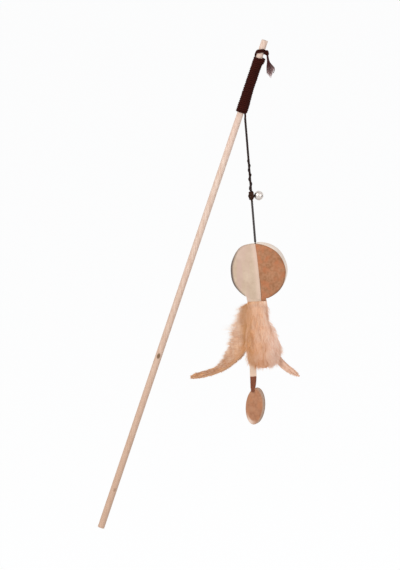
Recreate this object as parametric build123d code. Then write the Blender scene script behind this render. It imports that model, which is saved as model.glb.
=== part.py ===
from build123d import *
import math
import os

# Cat teaser wand: a wooden rod, a cord wound on its tip, a bell, and a leather lure with feathers.
# Millimetres and degrees, +Z up. The origin is the middle of the rod's butt end, which a hand holds.
# The rod leans towards +X, and the lure hangs from its tip. -Y is the front.

# Fits
fit_gap = 0.1
run_gap = 0.05
joint_gap = 0.3

# Rod
rod_length = 500.0
rod_dia = 6.5
rod_lean = 23.0
rod_end_round = 0.4
tip_length = 82.0
tip_dia = 6.3
tip_taper = 3.0

# Cord, its winding on the tip and the hitch above the winding
cord_dia = 1.8
cord_sides = 6
tip_bare = 10.91
wind_turns = 23
wind_pitch = 2.33
hitch_rise = 7.3
hitch_turn_share = 0.75
hitch_start = -60.0
hitch_lead = 3.0
hitch_knot_dia = 4.4
exit_drop = 3.2
exit_side = 0.6
exit_turn_share = 1 / 24

# Tail of the hitch, with its frayed end
tail_dia = 1.4
tail_length = 5.0
fray_length = 17.5
fray_width = 8.0
fray_depth = 4.5
fray_shares = ((0.0, 0.18), (0.3, 0.45), (0.62, 1.0), (0.85, 0.6), (1.0, 0.2))

# Hanging cord, with the strand twisted round it
upper_cord_length = 71.0
lower_cord_length = 40.4
twist_dia = 1.3
twist_turns = 5
twist_pitch = 5.6

# Bell knot and bell
knot_dia = 7.4
knot_flat_dia = 4.8
knot_height = 8.6
bell_dia = 9.0
bell_wall = 0.45
bell_lip = 0.3
bell_lip_height = 0.5
bell_slot = 0.9
bell_slot_reach = 3.0
bell_slot_end_dia = 1.6
ring_bore = 2.6
ring_wire = 0.8
ring_stem_dia = 0.9
rivet_dia = 1.8
rivet_height = 0.4
pellet_dia = 3.0
tie_dia = 1.3
tie_side = 0.35
pin_below_knot_top = 4.9

# Lure disc and its neck
lure_yaw = -10.0
disc_dia = 52.4
disc_edge = 15.0
disc_crown = 1.8
leather = 1.2
seam_gap = 0.15
rim_wall = 1.2
rim_inset = 0.2
neck_left = 13.0
neck_right = 4.2
neck_drop = 4.0
plug_height = 9.5
anchor_side = 1.5
anchor_stand = 1.2
anchor_depth = 9.0
anchor_knot_dia = 4.8

# Feathers
quill_dia = 1.5
quill_layer = 1.9
quill_root_length = 7.0
left_root_side = 4.0
left_reach = 71.5
left_fall = 69.75
left_bend_radius = 69.0
left_bend = 53.0
left_tip_lift = 3.0
left_plume_width = 22.0
left_plume_depth = 8.0
left_plume_shares = (
    (0.02, 0.70, 0.45),
    (0.16, 0.85, 0.85),
    (0.32, 1.00, 1.00),
    (0.48, 0.88, 0.75),
    (0.62, 0.52, 0.40),
    (0.76, 0.33, 0.20),
    (0.92, 0.27, 0.14),
    (1.00, 0.10, 0.08),
)
right_root_side = 2.5
right_reach = 33.7
right_fall = 73.4
right_vane_width = 7.0
right_vane_depth = 0.9
right_vane_shares = ((0.45, 0.6, 1.0), (0.65, 1.0, 1.0), (0.85, 0.8, 0.8), (1.0, 0.15, 0.4))
down_length = 63.0
down_width = 33.0
down_depth = 7.5
down_shares = (
    (0.02, -0.37, 0.18, 0.45),
    (0.25, -0.46, 0.17, 0.80),
    (0.50, -0.51, 0.36, 1.00),
    (0.75, -0.42, 0.49, 1.00),
    (0.90, -0.33, 0.44, 0.75),
    (1.00, -0.20, 0.20, 0.30),
)

# Strap, tie and tag
strap_side = 9.6
strap_width = 5.6
strap_thickness = 0.9
strap_length = 67.7
strap_lean = 3.3
tie_length = 13.4
tie_thickness = 2.2
tie_tip_dia = 1.6
tag_width = 18.5
tag_height = 36.0
tag_leather = 1.5
tag_core = 2.0
tag_core_inset = 0.4
tag_tilt = -11.0
tag_yaw = -15.0

# Places of the hanging chain, from the rod's tip down
lean = math.radians(rod_lean)
rod_frame = Plane(
    origin=(0, 0, 0),
    x_dir=(math.cos(lean), 0, -math.sin(lean)),
    z_dir=(math.sin(lean), 0, math.cos(lean)),
)
down = Vector(0, 0, -1)
cord_r = cord_dia / 2
wind_radius = tip_dia / 2 + fit_gap + cord_r
hitch_top = rod_length - tip_bare
wind_top = hitch_top - hitch_rise
wind_low = wind_top - wind_turns * wind_pitch
exit_bend_end = rod_frame.from_local_coords((wind_radius + exit_side, 0, wind_low - exit_drop))
exit_face = exit_bend_end + down * cord_dia
swing_pivot = exit_face + down * (joint_gap + cord_r)
hang_x = swing_pivot.X
knot_top = swing_pivot + down * upper_cord_length
knot_bottom = knot_top + down * knot_height
sway_pivot = knot_bottom + down * (joint_gap + cord_r)
lower_cord_end = sway_pivot + down * lower_cord_length
anchor_top = lower_cord_end + down * joint_gap
disc_r = disc_dia / 2
yaw = math.radians(lure_yaw)
lure_right = Vector(math.cos(yaw), math.sin(yaw), 0)
disc_centre = anchor_top + down * (anchor_stand + disc_r) + lure_right * anchor_side
lure_plane = Plane(origin=disc_centre, x_dir=lure_right, z_dir=(math.sin(yaw), -math.cos(yaw), 0))

os.makedirs("parts", exist_ok=True)


def save(name, shape):
    """Write one node and print its volume."""
    export_step(shape, f"parts/{name}.step")
    print(f"{name}: {len(shape.solids())} solids, {shape.volume:.1f} mm3")


def rod_run(start, end, dia):
    """A straight round bar from start to end."""
    way = end - start
    return extrude(Plane(origin=start, z_dir=way) * Circle(dia / 2), way.length)


def biarc(p0, t0, p1, t1):
    """Two arcs that leave p0 along t0 and reach p1 along t1, tangent where they meet."""
    way = p1 - p0
    both = t0 + t1
    spread = 2 * (1 - t0.dot(t1))
    along = way.dot(both)
    reach = (math.sqrt(along * along + spread * way.dot(way)) - along) / spread
    middle = (p0 + p1 + (t0 - t1) * reach) / 2
    turn = p1 - t1 * reach - p0 - t0 * reach
    return [TangentArc(p0, middle, tangent=t0), TangentArc(middle, p1, tangent=turn)]


def least_radius(edges):
    """The tightest bend among a path's arcs."""
    return min(e.radius for e in edges if e.geom_type == GeomType.CIRCLE)


def least_gap(edges, dia):
    """The least clear space between stretches of one tube, measured on points along it."""
    marks = []
    run = 0.0
    steps = 6
    for e in edges:
        for i in range(steps):
            marks.append((run + e.length * i / steps, e @ (i / steps)))
        run += e.length
    apart = 4 * dia
    gaps = [
        (p - q).length - dia
        for i, (s, p) in enumerate(marks)
        for t, q in marks[i + 1 :]
        if t - s > apart
    ]
    return min(gaps)


def tell_bends(name, edges, dia):
    """Print how tightly a tube bends and how near it comes to itself."""
    print(f"{name}: tightest bend {least_radius(edges):.2f}, gap to itself {least_gap(edges, dia):.2f}")


def tube(edges, dia):
    """A cord swept along a path of lines and arcs, with a few flat sides."""
    path = Wire(edges)
    section = Plane(origin=path @ 0, z_dir=path % 0) * RegularPolygon(dia / 2, cord_sides)
    return sweep(section, path=path, clean=False)


def wound(frame, radius, start_angle, turn, station):
    """A place on a winding and the way the cord goes on; station gives the place along the axis."""
    angle = math.radians(start_angle - 360 * turn)
    step_share = 0.25
    climb = (station(turn + step_share) - station(turn)) / step_share
    place = Vector(radius * math.cos(angle), radius * math.sin(angle), station(turn))
    round_turn = 2 * math.pi * radius
    way = Vector(round_turn * math.sin(angle), -round_turn * math.cos(angle), climb).normalized()
    ahead = frame.from_local_coords(place + way) - frame.from_local_coords(place)
    return frame.from_local_coords(place), ahead


def wound_edges(frame, radius, start_angle, turns, station):
    """Biarcs from one listed turn to the next."""
    knots = [wound(frame, radius, start_angle, turn, station) for turn in turns]
    edges = []
    for (p0, t0), (p1, t1) in zip(knots, knots[1:]):
        edges += biarc(p0, t0, p1, t1)
    return knots, edges


# Rod: a dowel, sanded a little thinner where the cord is wound on
shoulder = rod_length - tip_length
profile = Polyline(
    (0, 0),
    (rod_dia / 2, 0),
    (rod_dia / 2, shoulder - tip_taper),
    (tip_dia / 2, shoulder),
    (tip_dia / 2, rod_length),
    (0, rod_length),
    close=True,
)
rod = revolve(Plane.XZ * make_face(profile), Axis.Z)
rings = rod.edges().filter_by(GeomType.CIRCLE).sort_by(Axis.Z)
rod = fillet([rings[0], rings[-1]], rod_end_round)
save("wand_rod", rod_frame * rod)

# Winding: the hitch turn comes down steeply from its knot, then the close turns follow
def wind_station(turn):
    """Place along the rod of the wound cord, turn by turn from the hitch knot."""
    if turn < hitch_turn_share:
        return hitch_top - hitch_rise * turn / hitch_turn_share
    return wind_top - wind_pitch * (turn - hitch_turn_share)


hitch_turns = [0, hitch_turn_share / 3, hitch_turn_share * 2 / 3]
close_turns = [hitch_turn_share + half / 2 for half in range(2 * wind_turns)]
wind_end = hitch_turn_share + wind_turns - exit_turn_share
knots, edges = wound_edges(
    rod_frame, wind_radius, hitch_start, hitch_turns + close_turns + [wind_end], wind_station
)
hitch_place, hitch_way = knots[0]
hitch_face = hitch_place - hitch_way * hitch_lead
wind_path = [Line(hitch_face, hitch_place)] + edges
wind_path += biarc(*knots[-1], exit_bend_end, down)
wind_path.append(Line(exit_bend_end, exit_face))
winding = tube(wind_path, cord_dia)
save("tip_winding", winding)
tell_bends("winding", wind_path, cord_dia)

# Hitch knot, flat where the hitch turn enters it
hitch_knot_r = hitch_knot_dia / 2
hitch_flat = math.sqrt(hitch_knot_r**2 - cord_r**2)
hitch_centre = hitch_face - hitch_way * hitch_flat
knot_side = Plane(origin=hitch_face, z_dir=hitch_way)
hitch_knot = Pos(*hitch_centre) * Sphere(hitch_knot_r)
save("hitch_knot", split(hitch_knot, bisect_by=knot_side, keep=Keep.BOTTOM))

# Tail: a short cord end that opens into a flat frayed tuft
tail_pivot = hitch_centre + down * (hitch_knot_r + joint_gap + tail_dia / 2)
tail_end = tail_pivot + down * tail_length
tail_cord = Pos(*tail_pivot) * Sphere(tail_dia / 2) + rod_run(tail_pivot, tail_end, tail_dia)
save("tail_cord", tail_cord)
fray = loft(
    [
        Plane(origin=tail_end + down * (fray_length * along), z_dir=down)
        * Ellipse(fray_width * wide / 2, fray_depth * wide / 2)
        for along, wide in fray_shares
    ],
    ruled=True,
)
save("tail_fray", fray)

# Upper cord, and the free end twisted round it from the knot up
save("upper_cord", Pos(*swing_pivot) * Sphere(cord_r) + rod_run(swing_pivot, knot_top, cord_dia))
twist_radius = cord_r + 2 * fit_gap + twist_dia / 2
twist_frame = Plane(origin=knot_top, x_dir=(1, 0, 0), z_dir=(0, 0, 1))


def twist_station(turn):
    """Height of the twisted strand above the knot."""
    return 2 * twist_dia + twist_pitch * turn


twist_knots, twist_edges = wound_edges(
    twist_frame, twist_radius, 0, [quarter / 4 for quarter in range(1, 4 * twist_turns + 1)], twist_station
)
twist_foot = knot_top + Vector(twist_radius, 0, 0)
twist_rise = twist_foot - down * twist_dia
twist_tip, twist_way = twist_knots[-1]
twist_path = [Line(twist_foot, twist_rise)] + biarc(twist_rise, -down, *twist_knots[0]) + twist_edges
twist_path.append(Line(twist_tip, twist_tip + twist_way * twist_dia))
save("cord_tail_twist", tube(twist_path, twist_dia))
tell_bends("twist", twist_path, twist_dia)

# Bell knot: a barrel with a slot for the bell's ring and room for the bell to swing
knot_middle = knot_top + down * (knot_height / 2)
bell_pin = Vector(hang_x + tie_side, 0, knot_top.Z - pin_below_knot_top)
ring_radius = (ring_bore + ring_wire) / 2
ring_out = ring_radius + ring_wire / 2
bell_r = bell_dia / 2
bell_reach = ring_out + run_gap + bell_r
bell_centre = bell_pin + Vector(bell_reach, 0, 0)
half_knot = knot_height / 2
barrel = make_face(
    [
        Line((0, -half_knot), (knot_flat_dia / 2, -half_knot)),
        ThreePointArc((knot_flat_dia / 2, -half_knot), (knot_dia / 2, 0), (knot_flat_dia / 2, half_knot)),
        Line((knot_flat_dia / 2, half_knot), (0, half_knot)),
        Line((0, half_knot), (0, -half_knot)),
    ]
)
knot = Pos(*knot_middle) * revolve(Plane.XZ * barrel, Axis.Z)
pin_plane = Plane(origin=bell_pin, x_dir=(1, 0, 0), z_dir=(0, -1, 0))
slot_width = ring_wire + 2 * joint_gap
slot = extrude(pin_plane * Circle(ring_out + joint_gap), slot_width / 2, both=True)
swept_bell = Plane(origin=bell_pin, z_dir=(0, -1, 0)) * Torus(bell_reach, bell_r + bell_lip + joint_gap)
swept_bell = split(swept_bell, bisect_by=Plane(origin=bell_pin, z_dir=(1, 0, 0)), keep=Keep.TOP)
save("bell_knot", knot - slot - swept_bell)
save("bell_tie", extrude(pin_plane * Circle(tie_dia / 2), slot_width / 2, both=True))

# Bell: two pressed halves crimped at the middle, cross-slotted, with a riveted ring and a loose pellet
bell_plane = Plane(origin=bell_centre, x_dir=(0, 0, 1), z_dir=(1, 0, 0))
bell_inner = bell_r - bell_wall


def half_shell(side):
    """One half of the ball; side is -1 for the ring's half and 1 for the slotted half."""
    slant_share = math.sqrt(0.5)
    out = slant_share * bell_r
    inner = slant_share * bell_inner
    wall = make_face(
        [
            ThreePointArc((0, side * bell_r), (out, side * out), (bell_r, 0)),
            Line((bell_r, 0), (bell_inner, 0)),
            ThreePointArc((bell_inner, 0), (inner, side * inner), (0, side * bell_inner)),
            Line((0, side * bell_inner), (0, side * bell_r)),
        ]
    )
    return revolve(Plane.XZ * wall, Axis.Z)


def upright(radius, low, high):
    """A cylinder on the local axis between two heights."""
    return extrude(Plane.XY.offset(low) * Circle(radius), high - low)


lip_out = bell_r + bell_lip
lip = upright(lip_out, -bell_lip_height, bell_lip_height)
lip -= upright(bell_r + run_gap, 0, bell_lip_height)
lip -= Sphere(bell_inner + bell_wall / 2)
cap = half_shell(-1) + lip - upright(ring_stem_dia / 2 + run_gap, -bell_dia, -bell_inner / 2)
bowl = half_shell(1)
for turn in (0, 90):
    arm = Box(2 * bell_slot_reach, bell_slot, bell_dia, align=(Align.CENTER, Align.CENTER, Align.MIN))
    for side in (-1, 1):
        arm += Pos(side * bell_slot_reach, 0, 0) * upright(bell_slot_end_dia / 2, 0, bell_dia)
    bowl -= Pos(0, 0, bell_wall) * Rot(0, 0, turn) * arm
ring = Pos(0, 0, -bell_reach) * Rot(90, 0, 0) * Torus(ring_radius, ring_wire / 2)
stem_end = -bell_inner + run_gap + rivet_height
ring += upright(ring_stem_dia / 2, ring_radius - bell_reach, stem_end)
ring += upright(rivet_dia / 2, stem_end - rivet_height + run_gap, stem_end)
save("bell_cap", bell_plane * cap)
save("bell_bowl", bell_plane * bowl)
save("bell_ring", bell_plane * ring)
pellet_drop = bell_inner - pellet_dia / 2 - joint_gap
save("bell_pellet", Pos(*(bell_centre + down * pellet_drop)) * Sphere(pellet_dia / 2))

# Lower cord, from the bell knot to the disc's rim
save("lower_cord", Pos(*sway_pivot) * Sphere(cord_r) + rod_run(sway_pivot, lower_cord_end, cord_dia))

# Disc: two crowned leather faces in two tones each, a rim band and the stuffing between
crown_radius = (disc_r**2 + disc_crown**2) / (2 * disc_crown)
crown_centre = disc_edge / 2 - math.sqrt(crown_radius**2 - disc_r**2)


def crown_arc(depth, reach):
    """The crowned face, sunk by depth, from the middle out to a radius."""
    radius = crown_radius - depth
    points = [(r, crown_centre + math.sqrt(radius**2 - r**2)) for r in (0, reach / 2, reach)]
    return ThreePointArc(*points)


def crowned(depth, reach, under):
    """A revolved body below a crowned face; under is the list of points that closes it."""
    face = crown_arc(depth, reach)
    points = [face @ 1] + under + [face @ 0]
    sides = [Line(a, b) for a, b in zip(points, points[1:])]
    return revolve(Plane.XZ * make_face([face] + sides), Axis.Z)


neck_low = -disc_r - neck_drop
neck_mid = (neck_right - neck_left) / 2
neck_width = neck_left + neck_right
plug_top = neck_low + plug_height


def neck_block(width, low, high, back, front):
    """A block across the neck."""
    sketch = Plane.XY.offset(back) * Pos(neck_mid, (low + high) / 2) * Rectangle(width, high - low)
    return extrude(sketch, front - back)


edge_in = (crown_arc(leather, disc_r) @ 1).Y
skin = crowned(0, disc_r, [(disc_r, 0), (0, 0)]) - crowned(leather, disc_r, [(disc_r, 0), (0, 0)])
tab = neck_block(neck_width, neck_low, plug_top, edge_in, disc_edge / 2)
skin += tab
cream_side = Plane(origin=(-seam_gap / 2, 0, 0), z_dir=(-1, 0, 0))
brown_side = Plane(origin=(seam_gap / 2, 0, 0), z_dir=(1, 0, 0))
for tone, side in (("cream", cream_side), ("brown", brown_side)):
    half_skin = split(skin, bisect_by=side, keep=Keep.TOP)
    save(f"front_cover_{tone}", lure_plane * half_skin)
    save(f"back_cover_{tone}", lure_plane * mirror(half_skin, about=Plane.XY))

neck_room = neck_block(neck_width + 2 * fit_gap, neck_low, plug_top + fit_gap, -disc_edge, disc_edge)
rim_r = disc_r - rim_inset
rim_half = edge_in - run_gap
rim_in = rim_r - rim_wall
rim = upright(rim_r, -rim_half, rim_half) - upright(rim_in, -rim_half, rim_half)
anchor_place = (-anchor_side, disc_r - anchor_depth, 0)
cord_hole = Pos(*anchor_place) * extrude(Plane.XZ * Circle(cord_r + fit_gap), -disc_dia)
save("rim_band", lure_plane * (rim - neck_room - cord_hole))

anchor_knot_r = anchor_knot_dia / 2
anchor_flat = anchor_place[1] + math.sqrt(anchor_knot_r**2 - cord_r**2)
stuff_r = rim_in - fit_gap
pad = crowned(leather + fit_gap, stuff_r, [(stuff_r, 0), (0, 0)])
pad += mirror(pad, about=Plane.XY)
pad -= neck_room + cord_hole + Pos(*anchor_place) * Sphere(anchor_knot_r + fit_gap)
save("stuffing", lure_plane * pad)
anchor_knot = split(
    Pos(*anchor_place) * Sphere(anchor_knot_r),
    bisect_by=Plane(origin=(0, anchor_flat, 0), z_dir=(0, 1, 0)),
    keep=Keep.BOTTOM,
)
save("anchor_knot", lure_plane * anchor_knot)
anchor_foot = lure_plane.from_local_coords((-anchor_side, anchor_flat, 0))
save("anchor_cord", rod_run(anchor_top, anchor_foot, cord_dia))

# Neck plug, with the roots of the two quills and of the strap glued into it
quill_r = quill_dia / 2
left_root = Pos(-left_root_side, neck_low, -quill_layer)
right_root = Pos(-right_root_side, neck_low, quill_layer)
root_bar = extrude(Plane.XZ * Circle(quill_r), -quill_root_length)
root_hole = extrude(Plane.XZ * Circle(quill_r + run_gap), -quill_root_length - run_gap)
strap_root = Pos(-strap_side, neck_low + quill_root_length / 2, 0) * Box(
    strap_width, quill_root_length, strap_thickness
)
strap_hole = Pos(-strap_side, neck_low + quill_root_length / 2, 0) * Box(
    strap_width + 2 * run_gap, quill_root_length + 2 * run_gap, strap_thickness + 2 * run_gap
)
plug_half = edge_in - fit_gap
plug = neck_block(neck_width - 2 * fit_gap, neck_low, plug_top, -plug_half, plug_half)
plug -= left_root * root_hole + right_root * root_hole + strap_hole
save("neck_plug", lure_plane * plug)
save("quill_roots", lure_plane * Compound([left_root * root_bar, right_root * root_bar]))
save("strap_root", lure_plane * strap_root)

# Left feather: the quill bends to the lower left, with all its plume on the outer side
quill_drop = joint_gap + quill_r
left_pivot = Vector(-left_root_side, neck_low - quill_drop, 0)
left_tip = left_pivot + Vector(-left_reach, -left_fall, 0)
lift = math.radians(left_tip_lift)
left_hub = left_tip + Vector(math.sin(lift), math.cos(lift), 0) * left_bend_radius
bend_start = math.radians(left_bend - left_tip_lift)
left_joint = left_hub + Vector(math.sin(bend_start), -math.cos(bend_start), 0) * left_bend_radius
upper_bend = TangentArc(left_joint, left_pivot, tangent=(math.cos(bend_start), math.sin(bend_start), 0))
lower_bend = TangentArc(
    left_joint, left_tip, tangent=(-math.cos(bend_start), -math.sin(bend_start), 0)
)
left_line = Wire([upper_bend, lower_bend])
right_pivot = Vector(-right_root_side, neck_low - quill_drop, 0)
right_tip = right_pivot + Vector(right_reach, -right_fall, 0)
right_line = Wire([TangentArc(right_pivot, right_tip, tangent=(0, -1, 0))])


def along_line(line, root, share):
    """A place and direction on a feather's shaft, counted from its root."""
    if (line @ 0 - root).length > quill_r:
        return line @ (1 - share), -(line % (1 - share))
    return line @ share, line % share


def quill(line, root, layer):
    """A round shaft along a feather's line, with a ball end at its root."""
    place, way = along_line(line, root, 0)
    shaft = sweep(Plane(origin=place, z_dir=way) * Circle(quill_r), path=line)
    return Pos(0, 0, layer) * (shaft + Pos(*root) * Sphere(quill_r))


def plume_section(place, way, near, far, layer, depth):
    """A flat-backed section across a shaft: near and far are measured to its right-hand side."""
    plane = Plane(origin=place, x_dir=(-way.Y, way.X, 0), z_dir=way)
    face_side = Vector(0, 0, layer)
    swell = Vector(0, 0, layer + depth)
    a = place + plane.x_dir * near + face_side
    b = place + plane.x_dir * far + face_side
    top = place + plane.x_dir * ((near + far) / 2) + swell
    return make_face([Line(a, b), ThreePointArc(b, top, a)])


save("left_quill", lure_plane * quill(left_line, left_pivot, -quill_layer))
plume_near = quill_r + fit_gap
left_sections = []
for share, wide, deep in left_plume_shares:
    place, way = along_line(left_line, left_pivot, share)
    far = plume_near + left_plume_width * wide
    left_sections.append(
        plume_section(place, way, -plume_near, -far, quill_r - quill_layer, -left_plume_depth * deep)
    )
save("left_plume", lure_plane * loft(left_sections))

# Right feather: a slim vane in front of its quill, with a lobe of down in front of both
save("right_quill", lure_plane * quill(right_line, right_pivot, quill_layer))
vane_layer = quill_layer + quill_r + fit_gap
vane_sections = []
for share, wide, deep in right_vane_shares:
    place, way = along_line(right_line, right_pivot, share)
    half = right_vane_width * wide / 2
    vane_sections.append(plume_section(place, way, -half, half, vane_layer, right_vane_depth * deep))
save("right_vane", lure_plane * loft(vane_sections))
down_layer = vane_layer + right_vane_depth + joint_gap
down_sections = []
for share, left, right, deep in down_shares:
    place = Vector(0, neck_low - joint_gap - down_length * share, 0)
    near = down_width * left
    far = down_width * right
    down_sections.append(plume_section(place, Vector(0, -1, 0), near, far, down_layer, down_depth * deep))
save("right_down", lure_plane * loft(down_sections))

# Strap, tie and tag hang as one chain from the neck
strap_pivot = Vector(-strap_side, neck_low - joint_gap - strap_width / 2, 0)
strap_place = Pos(*strap_pivot) * Rot(0, 0, -strap_lean)
strap_face = Pos(0, -strap_length / 2) * Rectangle(strap_width, strap_length) + Circle(strap_width / 2)
strap = extrude(strap_face, strap_thickness / 2, both=True)
save("tag_strap", lure_plane * (strap_place * strap))
tie_top = Plane(origin=(0, -strap_length, 0), z_dir=(0, -1, 0))
tie_end = Plane(origin=(0, -strap_length - tie_length, 0), z_dir=(0, -1, 0))
tie = loft([tie_top * Rectangle(strap_width, tie_thickness), tie_end * Rectangle(tie_tip_dia, tie_tip_dia)])
save("tag_tie", lure_plane * (strap_place * tie))

tag_pivot = (strap_place * Pos(0, -strap_length - tie_length - joint_gap, 0)).position
tilt = math.radians(tag_tilt)
tag_rise = 1 / math.hypot(math.cos(tilt) / (tag_height / 2), math.sin(tilt) / (tag_width / 2))
tag_place = Pos(tag_pivot.X, tag_pivot.Y - tag_rise, 0) * Rot(0, tag_yaw, 0) * Rot(0, 0, tag_tilt)
oval = Ellipse(tag_width / 2, tag_height / 2)
core_oval = Ellipse(tag_width / 2 - tag_core_inset, tag_height / 2 - tag_core_inset)
half_core = tag_core / 2
core = extrude(core_oval, half_core, both=True)
front = extrude(Plane.XY.offset(half_core) * oval, tag_leather)
save("tag_core", lure_plane * (tag_place * core))
save("tag_front", lure_plane * (tag_place * front))
save("tag_back", lure_plane * (tag_place * mirror(front, about=Plane.XY)))

# Pivots, for the joints
print("cord swing pivot", swing_pivot, "sway pivot", sway_pivot, "bell pin", bell_pin)
print("lure spin", anchor_top, "tail pivot", tail_pivot, "bell centre", bell_centre)
for name, place, layer in (
    ("left feather", left_pivot, -quill_layer),
    ("right feather", right_pivot, quill_layer),
    ("strap", strap_pivot, 0),
    ("tag", tag_pivot, 0),
):
    print(name, "pivot", lure_plane.from_local_coords((place.X, place.Y, layer)))
print("lure hinge axis", lure_plane.z_dir, "pellet travel", 2 * pellet_drop)
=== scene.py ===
# %% [markdown]
# A cat teaser wand. A wooden rod carries a dark cord that is wound round its tip. The cord hangs
# down, holds a small bell in a knot, and ends in a stuffed leather disc with two feathers and a tag.
# The rigid model sets the frame. Each soft piece below is worked out in millimetres in that frame and
# only turned into metres when its mesh is made.

# %% Load the rigid model
import math

import bpy
import numpy as np
from mathutils import Matrix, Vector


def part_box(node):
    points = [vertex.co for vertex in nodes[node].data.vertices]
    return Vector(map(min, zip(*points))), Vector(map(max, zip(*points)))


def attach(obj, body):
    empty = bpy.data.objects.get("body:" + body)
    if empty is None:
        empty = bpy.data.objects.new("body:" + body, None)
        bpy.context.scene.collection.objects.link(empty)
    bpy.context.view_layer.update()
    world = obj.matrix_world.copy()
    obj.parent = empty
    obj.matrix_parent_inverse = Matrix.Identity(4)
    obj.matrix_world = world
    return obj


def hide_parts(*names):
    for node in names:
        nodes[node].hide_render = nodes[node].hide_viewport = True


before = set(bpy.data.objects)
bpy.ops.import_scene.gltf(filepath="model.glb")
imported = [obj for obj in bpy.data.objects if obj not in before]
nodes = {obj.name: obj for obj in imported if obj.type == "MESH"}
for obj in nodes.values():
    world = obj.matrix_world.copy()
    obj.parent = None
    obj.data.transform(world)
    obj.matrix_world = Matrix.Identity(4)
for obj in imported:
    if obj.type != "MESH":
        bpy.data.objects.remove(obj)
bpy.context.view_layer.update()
scene = bpy.context.scene
scene.view_settings.view_transform = "Standard"
MM = 0.001

# %% [markdown]
# The camera comes first, because everything is seen through it. It stands far away with a long
# lens, looks down at a small angle, and is rolled so that the hanging cord leans in the picture. A
# wide lens close by would bend the rod's proportions.

# %% Camera
aim = np.array([114.2, 0.0, 228.3])
elevation = math.radians(9.9)
roll = math.radians(4.7)
distance = 17000.0
mm_per_pixel = 0.9605
picture_height = 570

ahead = np.array([0.0, math.cos(elevation), -math.sin(elevation)])
level = np.array([1.0, 0.0, 0.0])
above = np.cross(level, ahead)
right = math.cos(roll) * level - math.sin(roll) * above
upward = math.cos(roll) * above + math.sin(roll) * level
eye = aim - distance * ahead


def unit(vectors):
    """Vectors brought to length one."""
    return vectors / np.linalg.norm(vectors, axis=-1, keepdims=True)


def stand_at(body, right_way, up_way, back_way, place):
    """Stands a camera or a lamp at a place in metres, turned to its own three directions."""
    stand = np.eye(4)
    stand[:3, :3] = np.stack([right_way, up_way, back_way], axis=1)
    stand[:3, 3] = place
    body.matrix_world = Matrix(stand.tolist())
    scene.collection.objects.link(body)


camera_data = bpy.data.cameras.new("camera")
camera_data.sensor_width = 36.0
camera_data.lens = camera_data.sensor_width * distance / (picture_height * mm_per_pixel)
camera_data.clip_end = 100.0
camera = bpy.data.objects.new("camera", camera_data)
stand_at(camera, right, upward, -ahead, eye * MM)
scene.camera = camera
print("lens", round(camera_data.lens, 1), "mm")

# %% [markdown]
# A material here is written as arithmetic. One small class wraps a node socket, and adding or
# multiplying two of them adds a Math node, so a line of Python reads like the formula that it builds.
# Placing each node by hand would work too, but hides the formula.

# %% Shader arithmetic


class Wire:
    """A socket of a node tree. Operators on it add Math nodes, and add() makes any other node."""

    def __init__(self, tree, socket=None):
        self.tree = tree
        self.socket = socket

    def feed(self, node, inputs):
        """Links or sets a node's sockets."""
        for key, value in inputs.items():
            if isinstance(value, Wire):
                self.tree.links.new(value.socket, node.inputs[key])
            else:
                node.inputs[key].default_value = value

    def add(self, kind, settings=None, inputs=None, out=0):
        """A node of any type: its settings are set first, then its sockets take values or links."""
        node = self.tree.nodes.new(kind)
        for key, value in (settings or {}).items():
            setattr(node, key, value)
        self.feed(node, inputs or {})
        return Wire(self.tree, node.outputs[out]) if node.outputs else None

    def maths(self, operation, first, second=0.0):
        return self.add("ShaderNodeMath", {"operation": operation}, {0: first, 1: second})

    def __add__(self, other):
        return self.maths("ADD", self, other)

    __radd__ = __add__

    def __mul__(self, other):
        return self.maths("MULTIPLY", self, other)

    __rmul__ = __mul__

    def __sub__(self, other):
        return self.maths("SUBTRACT", self, other)

    def __rsub__(self, other):
        return self.maths("SUBTRACT", other, self)

    def __truediv__(self, other):
        return self.maths("DIVIDE", self, other)

    def step(self, low, high):
        """A soft step: 0 below low, 1 above high, smooth between."""
        settings = {"interpolation_type": "SMOOTHSTEP"}
        return self.add("ShaderNodeMapRange", settings, {"Value": self, "From Min": low, "From Max": high})

    def mix(self, first, second):
        """Two colours mixed by this value."""
        return self.add("ShaderNodeMix", {"data_type": "RGBA"}, {0: self, 6: first, 7: second}, out=2)


def srgb(red, green, blue):
    """A colour as a screen shows it, 0 to 255, turned into the linear values that shaders use."""
    c = np.array([red, green, blue]) / 255
    line = np.where(c <= 0.04045, c / 12.92, ((c + 0.055) / 1.055) ** 2.4)
    return (*line.tolist(), 1.0)


print("shader arithmetic ready")

# %% [markdown]
# The room is a pale floor well below the lure, a soft grey-white sky and two large lamps. The
# background is white only for what the camera, a reflection or a clear surface sees, so the
# white adds no light to the object.

# %% Sky and lamps
world = bpy.data.worlds.new("room")
scene.world = world
world.use_nodes = True
world.node_tree.nodes.clear()
sky = Wire(world.node_tree)


def seen_ray(wire):
    """1 for rays from the camera, a mirror or glass, 0 for the rays that only carry light."""
    outputs = wire.add("ShaderNodeLightPath").socket.node.outputs
    seen_by = [Wire(wire.tree, outputs[f"Is {kind} Ray"]) for kind in ("Camera", "Glossy", "Transmission")]
    return wire.maths("MAXIMUM", wire.maths("MAXIMUM", seen_by[0], seen_by[1]), seen_by[2])


seen = seen_ray(sky)
dim = sky.add("ShaderNodeBackground", inputs={"Color": (0.95, 0.97, 1.0, 1.0), "Strength": 0.55})
white = sky.add("ShaderNodeBackground", inputs={"Color": (1.0, 1.0, 1.0, 1.0), "Strength": 1.0})
both = sky.add("ShaderNodeMixShader", inputs={0: seen, 1: dim, 2: white})
sky.add("ShaderNodeOutputWorld", inputs={"Surface": both})


def lamp(name, place, size, watts, color):
    """A square soft lamp that looks at the middle of the object."""
    data = bpy.data.lights.new(name, "AREA")
    data.size = size
    data.energy = watts
    data.color = color
    body = bpy.data.objects.new(name, data)
    away = unit(np.array(place) - aim * MM)
    across = unit(np.cross((0.0, 0.0, 1.0), away))
    stand_at(body, across, np.cross(away, across), away, place)


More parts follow.
